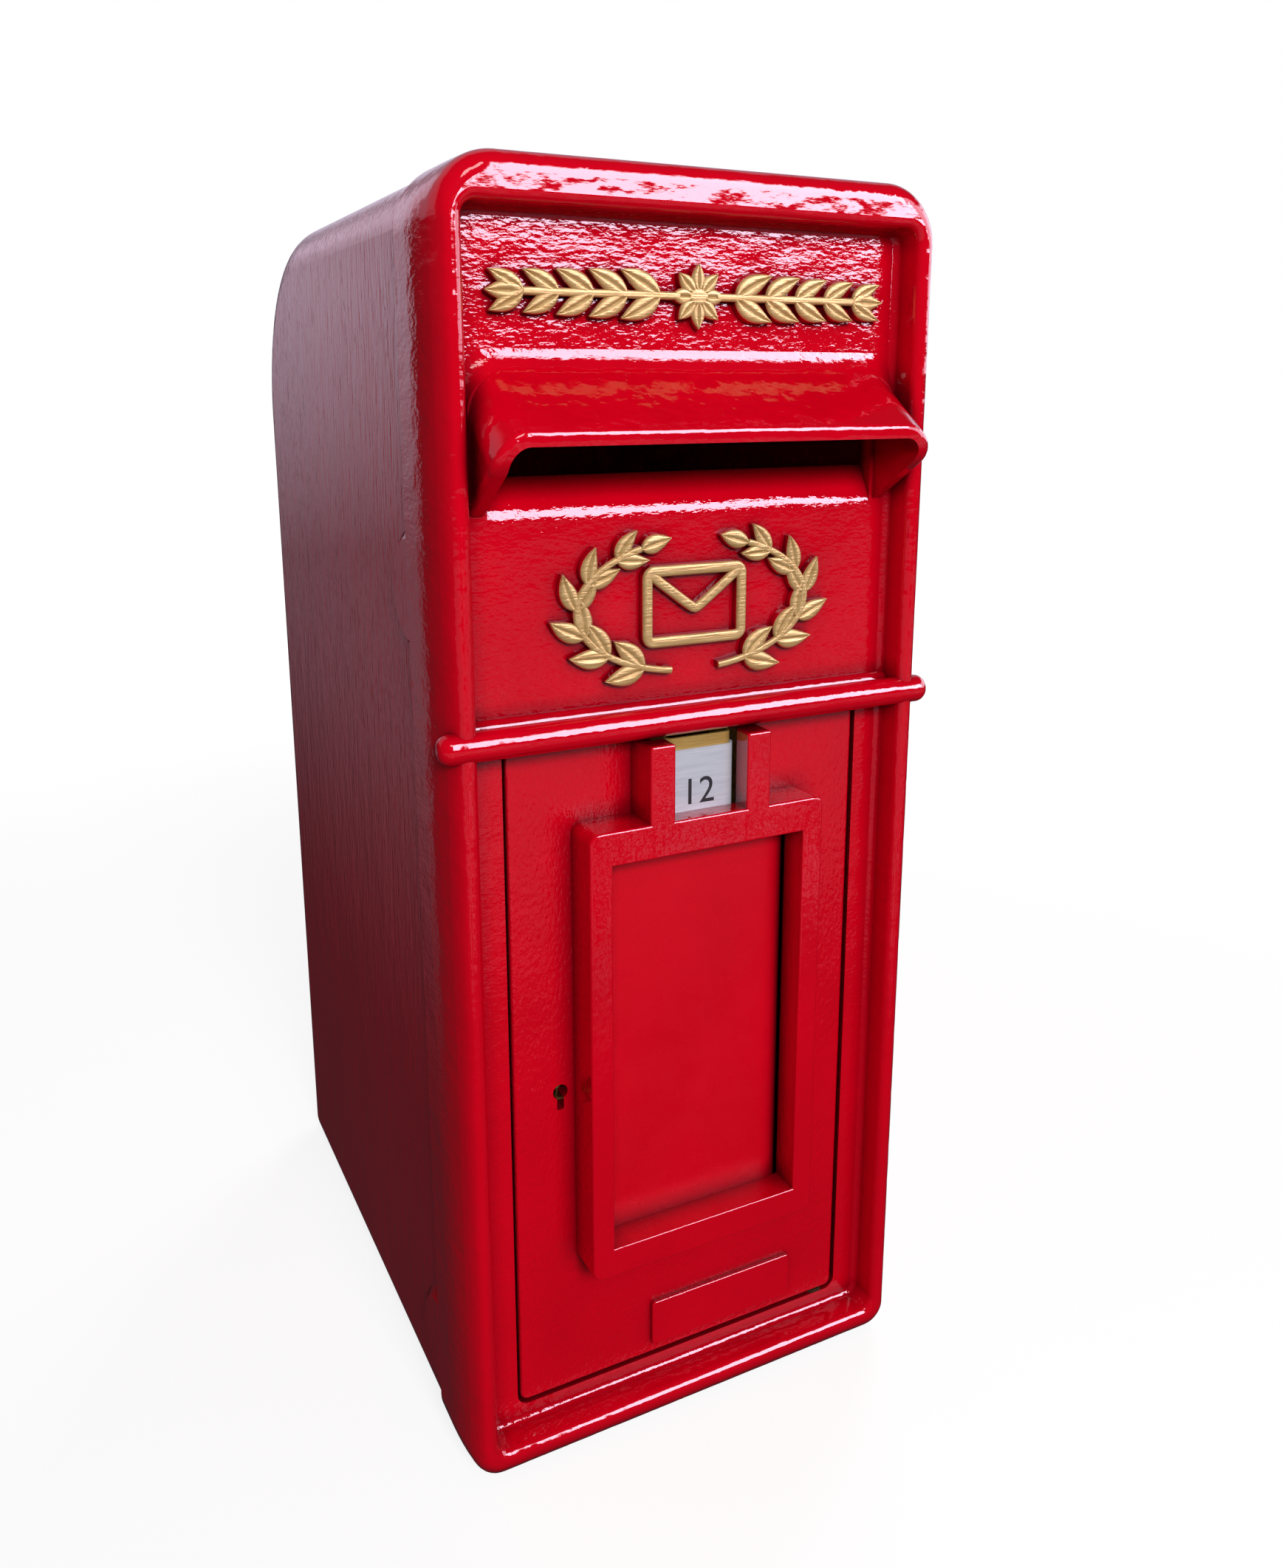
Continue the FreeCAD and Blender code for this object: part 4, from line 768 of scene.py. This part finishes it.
def tent(stage):
    """Grey cloth tent round the object, as a photographer hangs for wet gloss: only reflections see it.
    It is dark, with a bright window to the front right, a dimmer doorway on the right beside it, paler cloth behind
    on the right and high up at the back, light patches on the floor in front, and a corner behind on the left that
    grows paler outwards and upwards. A reflection of a reflection sees it much dimmer."""
    material, tree = empty_material("grey_cloth")
    where = tent_measures(tree)
    paler = 0.0
    for measure, start, end, most in CORNER_GLOW:
        step = add(tree, "MapRange", {"Value": where[measure], "From Min": start, "From Max": end, "To Max": most})
        paler = add(tree, "Math", {0: paler, 1: step.outputs["Result"]}, operation="ADD").outputs[0]
    strengths = dict(TENT_GLOW, window=stage.window_glow, corner=paler)
    glow = TENT_DARK
    for name, limits in TENT_ZONES.items():
        part = zone(tree, [(where[measure], start, end) for measure, start, end in limits])
        lit = add(tree, "Math", {0: part, 1: strengths[name]}, operation="MULTIPLY").outputs[0]
        glow = add(tree, "Math", {0: glow, 1: lit}, operation="ADD").outputs[0]
    bounces = add(tree, "LightPath").outputs["Glossy Depth"]
    seen = add(tree, "MapRange", {"Value": bounces, "From Min": 1.0, "From Max": 2.0, "To Min": 1.0,
                                  "To Max": SECOND_REFLECTION})
    glow = add(tree, "Math", {0: glow, 1: seen.outputs["Result"]}, operation="MULTIPLY").outputs[0]
    cloth = add(tree, "Emission", {"Color": TENT_COLOUR, "Strength": glow})
    add(tree, "OutputMaterial", {"Surface": cloth.outputs[0]})
    material.cycles.emission_sampling = "NONE"
    piece = show("tent", tent_mesh(), material)
    piece.visible_camera = piece.visible_diffuse = piece.visible_shadow = False
    piece.visible_transmission = piece.visible_volume_scatter = False


def lamp(name, place, target, size, power):
    """Rectangular soft light aimed at a point."""
    light = bpy.data.lights.new(name, "AREA")
    light.shape = "RECTANGLE"
    light.size, light.size_y = size
    light.energy = power
    light.color = LAMP_COLOUR
    holder = bpy.data.objects.new(name, light)
    holder.location = place
    holder.rotation_euler = (Vector(target) - Vector(place)).to_track_quat("-Z", "Y").to_euler()
    bpy.context.scene.collection.objects.link(holder)
    return holder


def room(context, stage):
    """Pale room: soft light on the object, and a white background."""
    world = bpy.data.worlds.new("pale_room")
    world.use_nodes = True
    tree = world.node_tree
    tree.nodes.clear()
    light = add(tree, "Background", {"Color": ROOM_COLOUR, "Strength": stage.ambient})
    white = add(tree, "Background", {"Color": WHITE, "Strength": 1.0})
    mix = add(tree, "MixShader", {0: white_backing(tree), 1: light.outputs[0], 2: white.outputs[0]})
    add(tree, "OutputWorld", {"Surface": mix.outputs[0]})
    context.scene.world = world


def camera(context):
    """Camera at the photograph's viewpoint, with a lens and shift worked out for the photograph's frame."""
    data = bpy.data.cameras.new("camera")
    data.sensor_width = SENSOR
    data.sensor_fit = "AUTO"
    data.lens = FOCAL_PIXELS * SENSOR / PHOTO_HEIGHT
    data.shift_x = (PHOTO_WIDTH / 2 - CENTRE_PIXELS[0]) / PHOTO_HEIGHT
    data.shift_y = (CENTRE_PIXELS[1] - PHOTO_HEIGHT / 2) / PHOTO_HEIGHT
    data.clip_start = 10 * MM
    holder = bpy.data.objects.new("camera", data)
    holder.location = CAMERA_PLACE
    holder.rotation_euler = [math.radians(a) for a in CAMERA_TURN]
    context.scene.collection.objects.link(holder)
    context.scene.camera = holder


# Panel and add-on

STEPS = (LETTERBOX_OT_paint, LETTERBOX_OT_metal, LETTERBOX_OT_garland, LETTERBOX_OT_wreath,
         LETTERBOX_OT_numeral, LETTERBOX_OT_stage)


class LETTERBOX_PT_panel(bpy.types.Panel):
    """Lists the settings and the steps"""
    bl_idname = "LETTERBOX_PT_panel"
    bl_label = "Letter box"
    bl_space_type = "VIEW_3D"
    bl_region_type = "UI"
    bl_category = "Letter box"

    def draw(self, context):
        for group in (context.scene.letterbox_paint, context.scene.letterbox_ornament,
                      context.scene.letterbox_stage):
            for name in group.bl_rna.properties.keys():
                if name not in ("rna_type", "name"):
                    self.layout.prop(group, name)
        for step in STEPS:
            self.layout.operator(step.bl_idname)


CLASSES = (PaintSettings, OrnamentSettings, StageSettings) + STEPS + (LETTERBOX_PT_panel,)


def register():
    for cls in CLASSES:
        bpy.utils.register_class(cls)
    bpy.types.Scene.letterbox_paint = PointerProperty(type=PaintSettings)
    bpy.types.Scene.letterbox_ornament = PointerProperty(type=OrnamentSettings)
    bpy.types.Scene.letterbox_stage = PointerProperty(type=StageSettings)


def unregister():
    del bpy.types.Scene.letterbox_stage
    del bpy.types.Scene.letterbox_ornament
    del bpy.types.Scene.letterbox_paint
    for cls in reversed(CLASSES):
        bpy.utils.unregister_class(cls)


def main():
    register()
    bpy.ops.letterbox.paint()
    bpy.ops.letterbox.metal()
    bpy.ops.letterbox.garland()
    bpy.ops.letterbox.wreath()
    bpy.ops.letterbox.numeral()
    bpy.ops.letterbox.stage()


if __name__ == "__main__":
    main()
